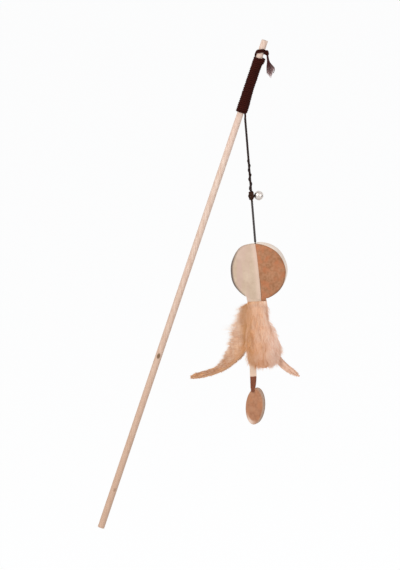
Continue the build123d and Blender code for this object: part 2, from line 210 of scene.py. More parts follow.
lamp("key_lamp", place=(-1.5, -2.0, 1.9), size=1.6, watts=46.0, color=(1.0, 0.98, 0.95))
lamp("fill_lamp", place=(1.9, -1.9, 0.7), size=1.8, watts=14.0, color=(0.96, 0.98, 1.0))
print("sky and two lamps ready")

# %% Floor
floor_height, floor_half, floor_glow = -0.3, 30.0, 0.8
floor_mesh = bpy.data.meshes.new("floor")
corners = [(x * floor_half, y * floor_half, floor_height) for x, y in ((-1, -1), (1, -1), (1, 1), (-1, 1))]
floor_mesh.from_pydata(corners, [], [(0, 1, 2, 3)])
floor = bpy.data.objects.new("floor", floor_mesh)
scene.collection.objects.link(floor)
pale = bpy.data.materials.new("floor_pale")
pale.use_nodes = True
pale.node_tree.nodes.clear()
ground = Wire(pale.node_tree)
floor_seen = seen_ray(ground)
matt = ground.add("ShaderNodeBsdfDiffuse", inputs={"Color": (0.86, 0.86, 0.86, 1.0)})
glow = ground.add("ShaderNodeEmission", inputs={"Color": (1.0, 1.0, 1.0, 1.0), "Strength": 1.1})
mixed = ground.add("ShaderNodeMixShader", inputs={0: floor_seen * floor_glow, 1: matt, 2: glow})
ground.add("ShaderNodeOutputMaterial", inputs={"Surface": mixed})
floor_mesh.materials.append(pale)
print("floor at", floor_height, "m")

# %% [markdown]
# Every soft piece is a surface on a grid of points: a function of two parameters gives the points,
# and neighbours are joined by quads. Several such grids make one mesh. Numbers that a material needs,
# such as how far along a hair a point is, ride on the points as named marks.

# %% From grids to pieces


def grid_quads(rows, cols, wrap):
    """Quads between neighbours of a grid of points; wrap joins the last column to the first."""
    index = np.arange(rows * cols).reshape(rows, cols)
    if wrap:
        index = np.concatenate([index, index[:, :1]], axis=1)
    corners = [index[:-1, :-1], index[:-1, 1:], index[1:, 1:], index[1:, :-1]]
    return np.stack(corners, axis=-1).reshape(-1, 4)


def surface(points, wrap=False, caps=False, **marks):
    """One grid of points, rows by columns by three; caps close the two ends of a tube."""
    rows, cols = points.shape[:2]
    ends = [np.arange(cols)[::-1], (rows - 1) * cols + np.arange(cols)] if caps else []
    flat = {key: np.broadcast_to(value, (rows, cols)).ravel() for key, value in marks.items()}
    return points.reshape(-1, 3), grid_quads(rows, cols, wrap), ends, flat


def piece(name, surfaces, finish, body, stands_for=()):
    """Joins surfaces into one mesh object, gives it its finish, and lets it ride on its body."""
    counts = [len(verts) for verts, _, _, _ in surfaces]
    starts = np.concatenate([[0], np.cumsum(counts)[:-1]]).astype(int)
    verts = np.concatenate([part[0] for part in surfaces])
    quads = np.concatenate([part[1] + start for part, start in zip(surfaces, starts)])
    ends = [end + start for part, start in zip(surfaces, starts) for end in part[2]]
    corners = np.concatenate([quads.ravel(), *ends]).astype(np.int32)
    sizes = np.concatenate([np.full(len(quads), 4), [len(end) for end in ends]]).astype(np.int32)
    mesh = bpy.data.meshes.new(name)
    mesh.vertices.add(len(verts))
    mesh.vertices.foreach_set("co", (verts * MM).astype(np.float32).ravel())
    mesh.loops.add(len(corners))
    mesh.loops.foreach_set("vertex_index", corners)
    mesh.polygons.add(len(sizes))
    mesh.polygons.foreach_set("loop_start", np.concatenate([[0], np.cumsum(sizes)[:-1]]).astype(np.int32))
    mesh.polygons.foreach_set("use_smooth", np.ones(len(sizes), bool))
    for key in sorted({key for part in surfaces for key in part[3]}):
        rows = [part[3].get(key, np.zeros(len(part[0]))) for part in surfaces]
        values = np.concatenate(rows).astype(np.float32)
        mesh.attributes.new(key, "FLOAT", "POINT").data.foreach_set("value", values)
    mesh.update(calc_edges=True)
    mesh.materials.append(finish)
    made = bpy.data.objects.new(name, mesh)
    scene.collection.objects.link(made)
    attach(made, body)
    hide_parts(*stands_for)
    print(f"{name}: {len(verts)} points, {len(sizes)} faces")
    return made


print("grids and pieces ready")

# %% Steps, peaks and turns


def soft_step(value):
    """A smooth step from 0 to 1: 3 v² - 2 v³ between them."""
    v = np.clip(value, 0, 1)
    return v * v * (3 - 2 * v)


def peak(value, width):
    """A smooth peak of height 1 at 0: exp(-(value / width)²)."""
    return np.exp(-((value / width) ** 2))


def full_turn(count):
    """So many even angles round a full turn, in radians."""
    return np.linspace(0.0, 2 * math.pi, count + 1)[:-1]


def run_length(line):
    """The way along a line of points from its start to each of them."""
    return np.concatenate([[0], np.cumsum(np.linalg.norm(np.diff(line, axis=0), axis=1))])


print("steps, peaks and turns ready")

# %% [markdown]
# A cord is three plies twisted together. Its section is like the outline of three circles, and
# that outline turns as it travels along the cord. A plain round tube would be quicker, but it shows
# as wire; modelling each fibre would cost far more than shows at this size.

# %% Cord along a line
groove_depth, groove_power = 0.16, 2.5
end_square = 1.02


def laid_cord(line, radius, away, lay=5.0, around=18, plies=3, tail_share=1.0):
    """A laid cord of n plies: at angle p from a ply the radius is r (1 - depth |sin(n p / 2)|^power), and
    the plies turn once each lay millimetres. away points out of the bend, so the section doesn't twist.
    Within a radius of each end the section shrinks like a ball, sqrt(1 - (1 - distance / r)²), to a small
    flat: end_square stands there for the first 1."""
    way = unit(np.gradient(line, axis=0))
    side = unit(away - (away * way).sum(1, keepdims=True) * way)
    up = np.cross(way, side)
    run = run_length(line)
    angle = full_turn(around)
    from_ply = angle[None, :] - 2 * math.pi * run[:, None] / lay
    groove = np.abs(np.sin(plies * from_ply / 2)) ** groove_power
    taper = np.linspace(1.0, tail_share, len(line))[:, None]
    from_end = np.minimum(run, run[-1] - run)[:, None]
    blunt = np.sqrt(end_square - np.clip(1 - from_end / radius, 0, 1) ** 2)
    size = radius * taper * blunt * (1 - groove_depth * groove)
    ring = np.cos(angle)[None, :, None] * side[:, None, :] + np.sin(angle)[None, :, None] * up[:, None, :]
    along = (run / run[-1])[:, None]
    points = line[:, None, :] + size[:, :, None] * ring
    return surface(points, wrap=True, caps=True, groove=groove, along=along)


print("laid cord ready")

# %% Lines for cords


def smooth_line(points, steps=12):
    """The line of a NURBS spline of order 3 that control points guide, read back from Blender."""
    curve = bpy.data.curves.new("route", "CURVE")
    curve.dimensions = "3D"
    curve.resolution_u = steps
    spline = curve.splines.new("NURBS")
    spline.points.add(len(points) - 1)
    ends = np.concatenate([np.asarray(points, float), np.ones((len(points), 1))], axis=1)
    spline.points.foreach_set("co", ends.ravel())
    spline.order_u = 3
    spline.use_endpoint_u = True
    holder = bpy.data.objects.new("route", curve)
    scene.collection.objects.link(holder)
    mesh = bpy.data.meshes.new_from_object(holder)
    line = np.empty(len(mesh.vertices) * 3)
    mesh.vertices.foreach_get("co", line)
    bpy.data.objects.remove(holder)
    bpy.data.curves.remove(curve)
    bpy.data.meshes.remove(mesh)
    return line.reshape(-1, 3)


def toward(line, way):
    """The same outward direction for every point of a line."""
    return np.broadcast_to(np.array(way, float), line.shape)


print("lines for cords ready")

# %% [markdown]
# The cord's finish is dark red-brown cotton. It is darkest in the grooves between the plies, painted
# shade there, and a fine noise breaks it into fibres. The hanging stretches look nearly black, the lower
# one greyer. The frayed end is the same cotton, washed out to a dusty mauve towards its tips.

# %% How a finish is made


class Finish(Wire):
    """A material in the making: the material, its shader node and the object's coordinates."""

    def __init__(self, name):
        self.made = bpy.data.materials.new(name)
        self.made.use_nodes = True
        super().__init__(self.made.node_tree)
        self.shader = self.tree.nodes["Principled BSDF"]
        self.place = self.add("ShaderNodeTexCoord", out="Object")

    def mark(self, name):
        """A number that rides on the mesh's points."""
        return self.add("ShaderNodeAttribute", {"attribute_name": name}, out="Fac")

    def axes(self, place):
        """The x, y and z of coordinates."""
        outputs = self.add("ShaderNodeSeparateXYZ", inputs={"Vector": place}).socket.node.outputs
        return [Wire(self.tree, outputs[axis]) for axis in "XYZ"]

    def noise(self, scale, detail=3.0, stretch=(1.0, 1.0, 1.0), turned=(0.0, 0.0, 0.0)):
        """Soft noise of so many cells to the metre, stretched and turned as a wood grain needs."""
        moves = {"Vector": self.place, "Scale": stretch, "Rotation": turned}
        moved = self.add("ShaderNodeMapping", inputs=moves)
        return self.add("ShaderNodeTexNoise", inputs={"Vector": moved, "Scale": scale, "Detail": detail})

    def relief(self, height, strength, depth_mm):
        """A bump that stands depth_mm high where height is 1."""
        inputs = {"Height": height, "Strength": strength, "Distance": depth_mm * MM}
        return self.add("ShaderNodeBump", inputs=inputs)

    def dress(self, sockets):
        """Feeds the shader's sockets, which go by their names, and gives the material."""
        self.feed(self.shader, sockets)
        return self.made


print("finish class ready")

# %% Cotton


def cotton(name, groove_shade_and_patch_color, ply_color, tip_color=None):
    """Laid cotton: the groove colour is painted shade in the grooves and also tints darker patches, one
    colour on the plies, and a tip colour by the mark 'along'.
    """
    finish = Finish(name)
    fibres, patches = finish.noise(2600.0, 4.0), finish.noise(160.0, 2.0)
    # The grooves take the groove colour, painted shade between the plies; noise patches take some of it
    # too.
    lit = (1 - finish.mark("groove")).step(0.1, 0.9) * (0.45 + 0.55 * fibres.step(0.3, 0.7))
    color = (patches.step(0.4, 0.75) * 0.35).mix(lit.mix(groove_shade_and_patch_color, ply_color), groove_shade_and_patch_color)
    if tip_color:
        color = finish.mark("along").step(0.25, 1.0).mix(color, tip_color)
    return finish.dress({
        "Base Color": color, "Roughness": 0.82 + 0.15 * fibres, "Specular IOR Level": 0.15,
        "Normal": finish.relief(fibres, 0.5, 0.15),
    })


cord_brown = cotton("cord_brown", srgb(28, 7, 3), srgb(82, 24, 11))
cord_dark = cotton("cord_dark", srgb(34, 24, 21), srgb(60, 46, 42))
knot_brown = cotton("knot_brown", srgb(30, 16, 10), srgb(84, 52, 38))
cord_grey = cotton("cord_grey", srgb(54, 50, 49), srgb(98, 92, 90))
fray_mauve = cotton("fray_mauve", srgb(44, 14, 15), srgb(94, 48, 48), srgb(214, 180, 178))
print("cotton finishes ready")

# %% [markdown]
# The hanging cord carries the lure's weight, so it is straight. It could be simulated as a chain of
# links, but the weight pulls any slack out. It leaves the winding at its lower end, holds the bell knot,
# and goes on to the disc. Its heights come from the rigid nodes that it stands for.

# %% Hanging cord, upper stretch


def box_mm(node):
    """The low and the high corner of a rigid node's box, in millimetres."""
    low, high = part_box(node)
    return np.array(low) / MM, np.array(high) / MM


cord_core, cord_full, cord_lay = 0.9, 1.1, 4.6
knot_overlap = 0.6
upper_low, upper_high = box_mm("upper_cord")
knot_box_low, knot_box_high = box_mm("bell_knot")
hang_x = (upper_low[0] + upper_high[0]) / 2
swing_height = upper_high[2] - cord_core
knot_top, knot_foot = knot_box_high[2], knot_box_low[2]
cord_exit = swing_height + cord_full
upper_between = (364.0, 340.0)


def plumb_cord(heights, steps, lay=cord_lay):
    """A straight cord down the hanging line: its line through these heights, and its surface."""
    line = smooth_line([(hang_x, 0, height) for height in heights], steps)
    return line, laid_cord(line, cord_full, toward(line, (1, 0, 0)), lay)


upper_line, upper_run = plumb_cord((cord_exit, *upper_between, knot_top - knot_overlap), 120)
upper_cord = piece("hanging_cord", [upper_run], cord_dark, "hanging_cord", ["upper_cord"])

# %% [markdown]
# The cord's other end is twisted round the hanging cord above the bell. Its line is an open helix whose
# radius wavers a little, and it thins towards its top, where the strand ends. A thicker cord would be
# simpler, but the photograph shows two strands.

# %% Twisted strand
strand_turns, strand_pitch, strand_phase = 3.6, 8.9, 0.135
strand_radius, strand_reach, strand_lay, strand_thin = 1.0, 0.97, 5.0, 0.55
strand_turn = np.linspace(0.0, strand_turns, 200)
strand_angle = -2 * math.pi * (strand_turn + strand_phase)
strand_gap = strand_reach * (1 + 0.06 * np.sin(5 * strand_turn))
strand_out = np.stack([np.cos(strand_angle), np.sin(strand_angle), 0 * strand_angle], axis=1)
strand_height = knot_top - knot_overlap + strand_pitch * strand_turn
strand_middle = np.stack([hang_x + 0 * strand_turn, 0 * strand_turn, strand_height], axis=1)
strand_line = strand_out * strand_gap[:, None] + strand_middle
twist_strand = piece(
    "twisted_strand", [laid_cord(strand_line, strand_radius, strand_out, strand_lay, 15, 3, strand_thin)],
    cord_dark, "hanging_cord", ["cord_tail_twist"],
)

# %% [markdown]
# The bell hangs in a knot with room for its ring. The cord goes round itself above and below. On the
# front two strands cross over a third, the back is the same, and two loops stand out at the left. One
# strand passes through the ring. The stub below ends in a ball at the sway's pivot. A single knot curve
# would be truer to the tying, but single strands are easier to keep clear of the bell's swing.

# %% Room for the bell
knot_middle = (knot_top + knot_foot) / 2
ring_low, ring_high = box_mm("bell_ring")
pin_height = (ring_low[2] + ring_high[2]) / 2
pin_side, pin_strand, pin_half, pin_sag = 0.35, 0.62, 2.6, 1.2
knot_strand, knot_lay = 0.88, 4.0
sway_height = box_mm("lower_cord")[1][2] - cord_core
cap_low, cap_high = box_mm("bell_cap")
bell_right = box_mm("bell_bowl")[1][0]
bell_radius = (cap_high[2] - cap_low[2]) / 2
bell_reach = (cap_low[0] + bell_right) / 2 - hang_x - pin_side
bell_swings = np.radians(np.linspace(-30.0, 15.0, 10))
bell_room = bell_radius + knot_strand + 0.2
strand_floor = knot_foot + knot_strand + 0.1


def clear_of_bell(line):
    """Room to move: a strand stays above the sway's floor, and at each swing of the bell it stays left of
    the ball, x = ball's x - sqrt(room² - y² - dz²)."""
    line[:, 2] = np.maximum(line[:, 2], strand_floor)
    for swing in bell_swings:
        ball_x = hang_x + pin_side + bell_reach * math.cos(swing)
        fall = line[:, 2] - pin_height - bell_reach * math.sin(swing)
        chord = np.sqrt(np.maximum(bell_room**2 - line[:, 1] ** 2 - fall**2, 0))
        line[:, 0] = np.where(chord > 0, np.minimum(line[:, 0], ball_x - chord), line[:, 0])
    return line


print("the bell's middle is", round(bell_reach, 2), "mm from its pin")

# %% Strands of the knot


def knot_run(places):
    """A strand of the knot along control points, given from the knot's middle."""
    middle = np.array([hang_x, 0.0, knot_middle])
    line = clear_of_bell(smooth_line([middle + np.array(place) for place in places]))
    return laid_cord(line, knot_strand, line - middle, knot_lay)


def coil(height, drop, radius, turns, start):
    """A short coil round the hanging line: the angle grows with the turn, and the height falls with it."""
    turn = np.linspace(0.0, turns, 60)
    angle = start + 2 * math.pi * turn
    swell = radius * (1 + 0.06 * np.sin(3 * angle))
    line = np.stack([hang_x + swell * np.cos(angle), swell * np.sin(angle), height - drop * turn], axis=1)
    line = clear_of_bell(line)
    return laid_cord(line, knot_strand, line - np.array([hang_x - 0.6, 0, height]), knot_lay)


face_runs = (
    ((-0.2, 1.7, 3.8), (-0.8, 1.9, 0.0), (-0.2, 1.6, -3.8)),
    ((-1.4, 1.3, 3.4), (0.2, 3.7, 1.8), (2.4, 3.9, -0.6), (0.9, 1.4, -3.9)),
    ((1.0, 1.2, 3.6), (2.3, 3.4, 1.4), (-0.6, 3.4, -1.6), (-1.6, 1.2, -3.2)),
)
left_runs = (
    ((-0.8, -1.5, 3.0), (-2.4, -2.0, 0.8), (-2.4, 0.6, -1.2), (-1.0, 1.4, -3.2)),
    ((-0.8, 1.5, 3.0), (-2.2, 2.0, 0.2), (-2.2, -0.6, -1.8), (-1.0, -1.4, -3.4)),
)
knot_parts = [
    coil(knot_top - 0.9, drop=1.3, radius=1.75, turns=1.5, start=0.4),
    coil(knot_foot + 1.9, drop=1.2, radius=1.7, turns=1.3, start=2.6),
]
for face in (-1, 1):
    knot_parts += [knot_run([(x, face * y, z) for x, y, z in places]) for places in face_runs]
knot_parts += [knot_run(places) for places in left_runs]
pin_bend = np.linspace(-1.0, 1.0, 30)
pin_line = np.stack(
    [hang_x + pin_side - pin_sag * pin_bend**2, pin_half * pin_bend, pin_height + 0 * pin_bend], axis=1
)
knot_parts.append(laid_cord(pin_line, pin_strand, toward(pin_line, (1, 0, 0)), knot_lay))
knot_parts.append(plumb_cord((knot_foot + 1.5, knot_foot, sway_height - cord_full), 20, knot_lay)[1])
bell_knot = piece(
    "bell_knot_wraps", knot_parts, knot_brown, "hanging_cord", ["bell_knot", "bell_tie"]
)
upper_line * MM

# %% [markdown]
# The lower stretch goes on from the sway's pivot to the disc. The disc spins under it, so the short end
# inside the disc is a piece of its own that spins too. One cord for both would twist through the leather.

# %% Hanging cord, lower stretch
anchor_low, anchor_high = box_mm("anchor_cord")
lower_exit, lower_between = sway_height + cord_full, (292.0, 279.0)
lure_top, lure_gap = anchor_high[2], 0.1
lower_line, lower_run = plumb_cord((lower_exit, *lower_between, lure_top + lure_gap), 80)
lower_cord = piece("lure_cord", [lower_run], cord_grey, "lure_cord", ["lower_cord"])
lower_exit * MM
(lower_exit - lure_top - lure_gap) * MM
lower_line * MM
_, inner_run = plumb_cord((lure_top, lure_top - 2.5, anchor_low[2] + 0.8), 8)
piece("cord_in_disc", [inner_run], cord_grey, "lure", ["anchor_cord"])

# %% [markdown]
# The winding is one unbroken cord in close turns. Its line is a helix about the rod: the angle grows
# with the turn, the place along the rod grows with it, and slow waves make the turns a little uneven,
# as a hand winds them. At the bottom it bends away into the hanging cord. The last turns stand off at
# the right, then the cord climbs the rod's left side and crosses the front to its knot. A dark sleeve
# under the turns is painted shade: it darkens the gaps between the turns, where shadow falls, and keeps
# the wood from showing there. A stack of rings would be easier, but it has no start and no end.

# %% Winding on the rod's tip
lean = math.radians(23.0)
rod_side = np.array([math.cos(lean), 0.0, -math.sin(lean)])
rod_back = np.array([0.0, 1.0, 0.0])
rod_way = np.array([math.sin(lean), 0.0, math.cos(lean)])
wind_radius, wind_cord = 4.15, 0.97
wind_low, wind_top = 426.6, 482.2
wind_turns, turn_samples = 29, 90
top_gap = 15 / 360
bottom_angle = math.radians(45.0)
hitch_share, hitch_pitch, hitch_climb, hitch_lift = 0.75, 0.9, 6.2, 2.2


def on_rod(radius, angle, station):
    """Points about the rod from their distance to its axis, angle and place along it."""
    radius, angle, station = np.broadcast_arrays(radius, angle, station)
    across = radius * np.cos(angle)
    behind = radius * np.sin(angle)
    return across[..., None] * rod_side + behind[..., None] * rod_back + station[..., None] * rod_way


bulge_width = 0.14
stand_off = ((1.5, 28.875), (1.5, 27.875), (1.1, 26.875), (0.3, 25.875))


def turn_radius(turn):
    """The winding's radius: slow waves, bulges at the turns that stand off, a fuller right side below."""
    bulge = sum(size * peak(turn - place, bulge_width) for size, place in stand_off)
    at_right = 0.5 + 0.5 * np.cos(bottom_angle + 2 * math.pi * turn)
    foot = 1.1 * at_right * soft_step((13.0 - turn) / 10.0)
    return wind_radius + 0.06 * np.sin(4.3 * turn) + 0.05 * np.sin(11.7 * turn) + bulge + foot


def hitch_station(climb):
    """Where the hitch lies along the rod: on at the pitch, up at the left, then up again to its knot."""
    at_left, at_knot = soft_step((climb - 0.42) / 0.28), soft_step((climb - 0.65) / 0.35)
    return wind_top + hitch_pitch * climb + hitch_climb * at_left + hitch_lift * at_knot


print("winding from", wind_low, "to", wind_top, "mm along the rod")

# %% Winding, hitch and way out
wind_turn = np.linspace(0.0, wind_turns - top_gap, wind_turns * turn_samples)
wind_share = wind_turn / wind_turn[-1]
waver = 0.07 * np.sin(2.9 * wind_turn) + 0.05 * np.sin(7.1 * wind_turn + 1.0)
close_station = wind_low + (wind_top - wind_low) * wind_share + waver * np.sin(math.pi * wind_share)
close_line = on_rod(turn_radius(wind_turn), bottom_angle + 2 * math.pi * wind_turn, close_station)

climb = np.linspace(0.0, 1.0, 60)[1:]
hitch_turn = wind_turn[-1] + hitch_share * climb
hitch_angle = bottom_angle + 2 * math.pi * hitch_turn
hitch_line = on_rod(turn_radius(hitch_turn) + 0.15 * climb, hitch_angle, hitch_station(climb))

bend = np.linspace(0.0, 1.0, 60)[:-1, None]
leave = np.array([hang_x, 0.0, swing_height - wind_cord])
leave_way = np.array([0.0, 0.0, 6.0])
arrive_way = unit(close_line[1] - close_line[0]) * 7.0
exit_line = (
    (2 * bend**3 - 3 * bend**2 + 1) * leave
    + (bend**3 - 2 * bend**2 + bend) * leave_way
    + (3 * bend**2 - 2 * bend**3) * close_line[0]
    + (bend**3 - bend**2) * arrive_way
)


def off_axis(line):
    """The direction from the rod's axis to each point of a line."""
    return line - (line @ rod_way)[:, None] * rod_way


wind_line = np.concatenate([exit_line, close_line, hitch_line])
shade_sleeve_radius = 3.45
shade_station = np.linspace(wind_low, wind_top, 30)[:, None]
shade_angle = full_turn(32)[None, :]
# The sleeve takes the darkest groove colour: painted shade between the turns.
painted_shade_sleeve = surface(on_rod(shade_sleeve_radius, -shade_angle, shade_station), wrap=True, caps=True, groove=1.0)
piece(
    "tip_winding_cord", [laid_cord(wind_line, wind_cord, off_axis(wind_line), cord_lay), painted_shade_sleeve],
    cord_brown, "wand", ["tip_winding"],
)

# %% [markdown]
# The hitch knot is an overhand knot drawn tight. A trefoil curve is the line of such a knot, so the
# cord is carried along it. A second strand runs back under the first across the rod's front. Short
# leads join the knot to the winding and to the tail.

# %% Hitch knot


def trefoil(centre, size, strand, across, outward, flat):
    """A tight overhand knot: x = sin t + 2 sin 2t, y = cos t - 2 cos 2t, z = -sin 3t, scaled and turned."""
    t = np.linspace(0.0, 2 * math.pi, 90)
    plan = size * (np.sin(t) + 2 * np.sin(2 * t))
    rise = size * (np.cos(t) - 2 * np.cos(2 * t))
    depth = -flat * np.sin(3 * t)
    third = np.cross(across, outward)
    line = centre + plan[:, None] * across + rise[:, None] * third + depth[:, None] * outward
    return laid_cord(line, strand, line - centre, hitch_lay)


hitch_strand, hitch_lay = 1.05, 3.6
hitch_shift = np.array([-1.5, -0.3, -1.2])
hitch_low, hitch_high = box_mm("hitch_knot")
hitch_centre = (hitch_low + hitch_high) / 2 + hitch_shift
knot_loops = trefoil(hitch_centre, 0.62, hitch_strand, rod_side, -rod_back, flat=0.9)
tail_low, tail_high = box_mm("tail_cord")
tail_middle = (tail_low + tail_high) / 2
tail_join = np.array([tail_middle[0] - 0.8, tail_middle[1], tail_high[2] - 0.2])
lead = smooth_line([hitch_line[-1], 0.4 * hitch_line[-1] + 0.6 * hitch_centre, hitch_centre], 10)
back_climb = np.linspace(0.48, 1.0, 40)
back_drop = 1.9 * soft_step((back_climb - 0.5) / 0.25)
back_angle = bottom_angle + 2 * math.pi * (wind_turn[-1] + hitch_share * back_climb)
back_line = on_rod(wind_radius + 0.05, back_angle, hitch_station(back_climb) - back_drop)
back_middle = 0.5 * (back_line[-1] + hitch_centre) - 0.9 * rod_way
back_lead = smooth_line([back_line[-1], back_middle, hitch_centre], 10)
down_lead = smooth_line([hitch_centre, hitch_centre + np.array([0.6, 0.0, -2.2]), tail_join], 10)
hitch_lines = (lead, back_line, back_lead, down_lead)
hitch_runs = [laid_cord(line, hitch_strand, off_axis(line), cord_lay) for line in hitch_lines]
piece("hitch_knot_loops", [knot_loops, *hitch_runs], cord_brown, "wand", ["hitch_knot"])

# %% [markdown]
# Fibres, barbs and down are all the same thing at this scale: thin needles with three sides that
# taper to a point. Their lines are quadratic curves from a start by a bend to a tip, and thousands of
# them are worked out at once as one array. Hair particles would look alike but cannot be kept as a
# mesh with its own marks.

# %% Needles
rng = np.random.default_rng(11)
hair_steps, hair_facing = 5, np.array([0.25, -0.9, 0.2])


def needles(starts, bends, tips, thick, shade=None):
    """Tapered three-sided hairs: p(s) = (1-s)² start + 2 s (1-s) bend + s² tip, with the radius
    thick (1 - s^1.6)."""
    count = len(starts)
    s = np.linspace(0.0, 1.0, hair_steps)[None, :, None]
    line = (1 - s) ** 2 * starts[:, None] + 2 * s * (1 - s) * bends[:, None] + s**2 * tips[:, None]
    way = unit(2 * (1 - s) * (bends - starts)[:, None] + 2 * s * (tips - bends)[:, None] + 1e-9)
    side = unit(np.cross(way, hair_facing))
    up = np.cross(way, side)
    angle = full_turn(3)
    ring = np.cos(angle)[:, None] * side[:, :, None, :] + np.sin(angle)[:, None] * up[:, :, None, :]
    taper = np.maximum(1 - s**1.6, 0.04)
    points = line[:, :, None, :] + (thick[:, None, None] * taper)[:, :, None, :] * ring
    one = grid_quads(hair_steps, 3, True)
    quads = (np.arange(count)[:, None, None] * hair_steps * 3 + one).reshape(-1, 4)
    along = np.broadcast_to(s, (count, hair_steps, 3)).ravel()
    shade = rng.random(count) if shade is None else shade
    tone = np.broadcast_to(shade[:, None, None], (count, hair_steps, 3)).ravel()
    return points.reshape(-1, 3), quads, [], {"along": along, "tone": tone}


def spread(low, high, count):
    """Random numbers between two values."""
    return low + (high - low) * rng.random(count)


def scatter(count, *ranges):
    """Random points, with one range of values for each axis."""
    return np.stack([spread(low, high, count) for low, high in ranges], axis=1)


print("needles ready")

# %% [markdown]
# The cord's free end is opened into fibres. Two strands part below the hitch knot and the fibres start
# on either of them and fall to a kite-shaped outline, lowest at the left of its middle. A flat painted
# card would be cheaper, but it vanishes from the side.

# %% Frayed tail
tail_top = tail_join + np.array([0.0, 0.0, 0.2])
left_places = ((-0.3, 0, 0), (-0.2, 0, -7.4), (-1.6, -0.3, -12.0), (-1.9, -0.4, -18.4))
right_places = ((0.3, 0, 0), (0.4, 0, -6.4), (3.1, 0.3, -10.8), (6.6, 0.4, -14.8), (4.2, 0.3, -19.0))
left_strand, right_strand = (
    smooth_line([tail_top + np.array(place) for place in places]) for places in (left_places, right_places)
)
fibre_count = 520
kite_left, kite_width, kite_low, kite_corner = -2.2, 8.2, -24.4, 0.45
kite_left_rise, kite_right_rise, kite_ragged = 5.0, 8.4, 3.2
across_kite = rng.random(fibre_count)
on_left = rng.random(fibre_count) < 0.5
root_place = (spread(0.2, 0.98, fibre_count) * (len(left_strand) - 1)).astype(int)
fibre_start = np.where(on_left[:, None], left_strand[root_place], right_strand[root_place])
kite = np.where(
    across_kite < kite_corner,
    (kite_corner - across_kite) / kite_corner * kite_left_rise,
    (across_kite - kite_corner) / (1 - kite_corner) * kite_right_rise,
)
fibre_side, fibre_depth = kite_left + kite_width * across_kite, spread(-1.5, 1.5, fibre_count)
fibre_fall = kite_low + kite + spread(0.0, kite_ragged, fibre_count)
fibre_low = tail_top + np.stack([fibre_side, fibre_depth, fibre_fall], axis=1)
fibre_sway = scatter(fibre_count, (-0.5, 0.5), (-0.6, 0.6), (-0.5, 1.5))
fibre_bend = 0.5 * (fibre_start + fibre_low) + fibre_sway
tuft = needles(fibre_start, fibre_bend, fibre_low, spread(0.07, 0.12, fibre_count))
tail_strand, tail_lay, tail_thin, tail_fade = 0.72, 2.6, 0.45, 0.35
tail_runs = [
    laid_cord(line, tail_strand, toward(line, (0, -1, 0)), tail_lay, 12, 2, tail_thin)
    for line in (left_strand, right_strand)
]
for run in tail_runs:
    run[3]["along"] = tail_fade * run[3]["along"]
piece("tail_fibres", [tuft, *tail_runs], fray_mauve, "tail_end", ["tail_cord", "tail_fray"])

# %% [markdown]
# The lure has its own frame: x to the right of the disc, y up, z out of its front. It is turned ten
# degrees from the picture plane, which shows the rim band at the right. The cord goes in a little to
# the left of the seam.

# %% Lure frame
lure_yaw = math.radians(-10.0)
lure_axes = np.array(
    [
        [math.cos(lure_yaw), math.sin(lure_yaw), 0.0],
        [0.0, 0.0, 1.0],
        [math.sin(lure_yaw), -math.cos(lure_yaw), 0.0],
    ]
)
disc_radius, half_edge, disc_crown = 26.2, 7.5, 1.8
anchor_side, anchor_stand = 1.5, 1.2
disc_middle = np.array([hang_x, 0.0, lure_top - anchor_stand - disc_radius]) + anchor_side * lure_axes[0]
neck_low, neck_left, neck_right = -30.2, -13.0, 4.2
seam_lean, seam_lean_top, seam_sway = math.radians(2.2), math.radians(0.7), 1.2


def on_lure(*parts):
    """Points of the lure's frame, given as x, y and z arrays, in the object's frame."""
    local = np.stack(np.broadcast_arrays(*parts), axis=-1)
    return disc_middle + local @ lure_axes


def hump(angle, middle_degrees, width_degrees):
    """A smooth hump of height 1 at one angle, the same after each full turn."""
    away = (angle - math.radians(middle_degrees) + math.pi) % (2 * math.pi) - math.pi
    return peak(away, math.radians(width_degrees))


def disc_reach(angle):
    """The disc's radius by angle: a circle with a blunt corner at the upper left and ripples."""
    corner = 0.036 * hump(angle, 122, 24)
    flat = 0.014 * hump(angle, 182, 26)
    ripple = 0.004 * (1 - np.cos(9 * angle))
    return disc_radius * (1 + corner - flat - ripple)


def front_reach(angle):
    """The front cover laps over the rim at the upper left, so no rim shows there."""
    return disc_reach(angle) + 1.5 * hump(angle, 116, 26)


print("lure frame at", disc_middle)

# %% [markdown]
# Leather. The cream half is smooth with a fine pore grain and a faint warm streak; the brown half is
# suede, mottled by its nap; the rim band is pale. A dark edge colour is painted shade: the thin outline
# at the left, the brown half's rolled rim at the lower right and the brown side of the seam. The grain
# is a cell texture used as relief, because printed colour alone looks like paper.

# %% Leather finishes


def leather(name, light, dark, edge, mottle, grain, edge_share, streak=None, worn=None, streak_long=0.35):
    """Leather: two tones by soft noise, cells as grain, the edge colour by the mark 'edge' (painted shade
    on the disc's covers), and a paler colour by a mark of its own.
    """
    finish = Finish(name)
    soft, nap = finish.noise(90.0, 4.0), finish.noise(420.0, 5.0)
    cells = finish.add("ShaderNodeTexVoronoi", {"feature": "F1"}, {"Vector": finish.place, "Scale": 1100.0})
    tone = soft.step(0.3, 0.7) * (1 - mottle) + nap.step(0.38, 0.66) * mottle
    color = tone.mix(light, dark)
    if streak:
        bands = finish.noise(60.0, 2.0, (3.0, 3.0, streak_long))
        color = (bands.step(0.4, 0.72) * 0.65).mix(color, streak)
    if worn:
        color = finish.mark("worn").mix(color, worn)
    pores = (1 - cells.step(0.0, 0.5)) * 0.25
    color = pores.mix(color, dark)
    color = (finish.mark("edge").step(0.2, 0.9) * edge_share).mix(color, edge)
    return finish.dress({
        "Base Color": color, "Roughness": 0.62 + 0.3 * nap, "Specular IOR Level": 0.3,
        "Normal": finish.relief(cells * (1 - mottle) + nap * mottle, 0.5, grain),
    })


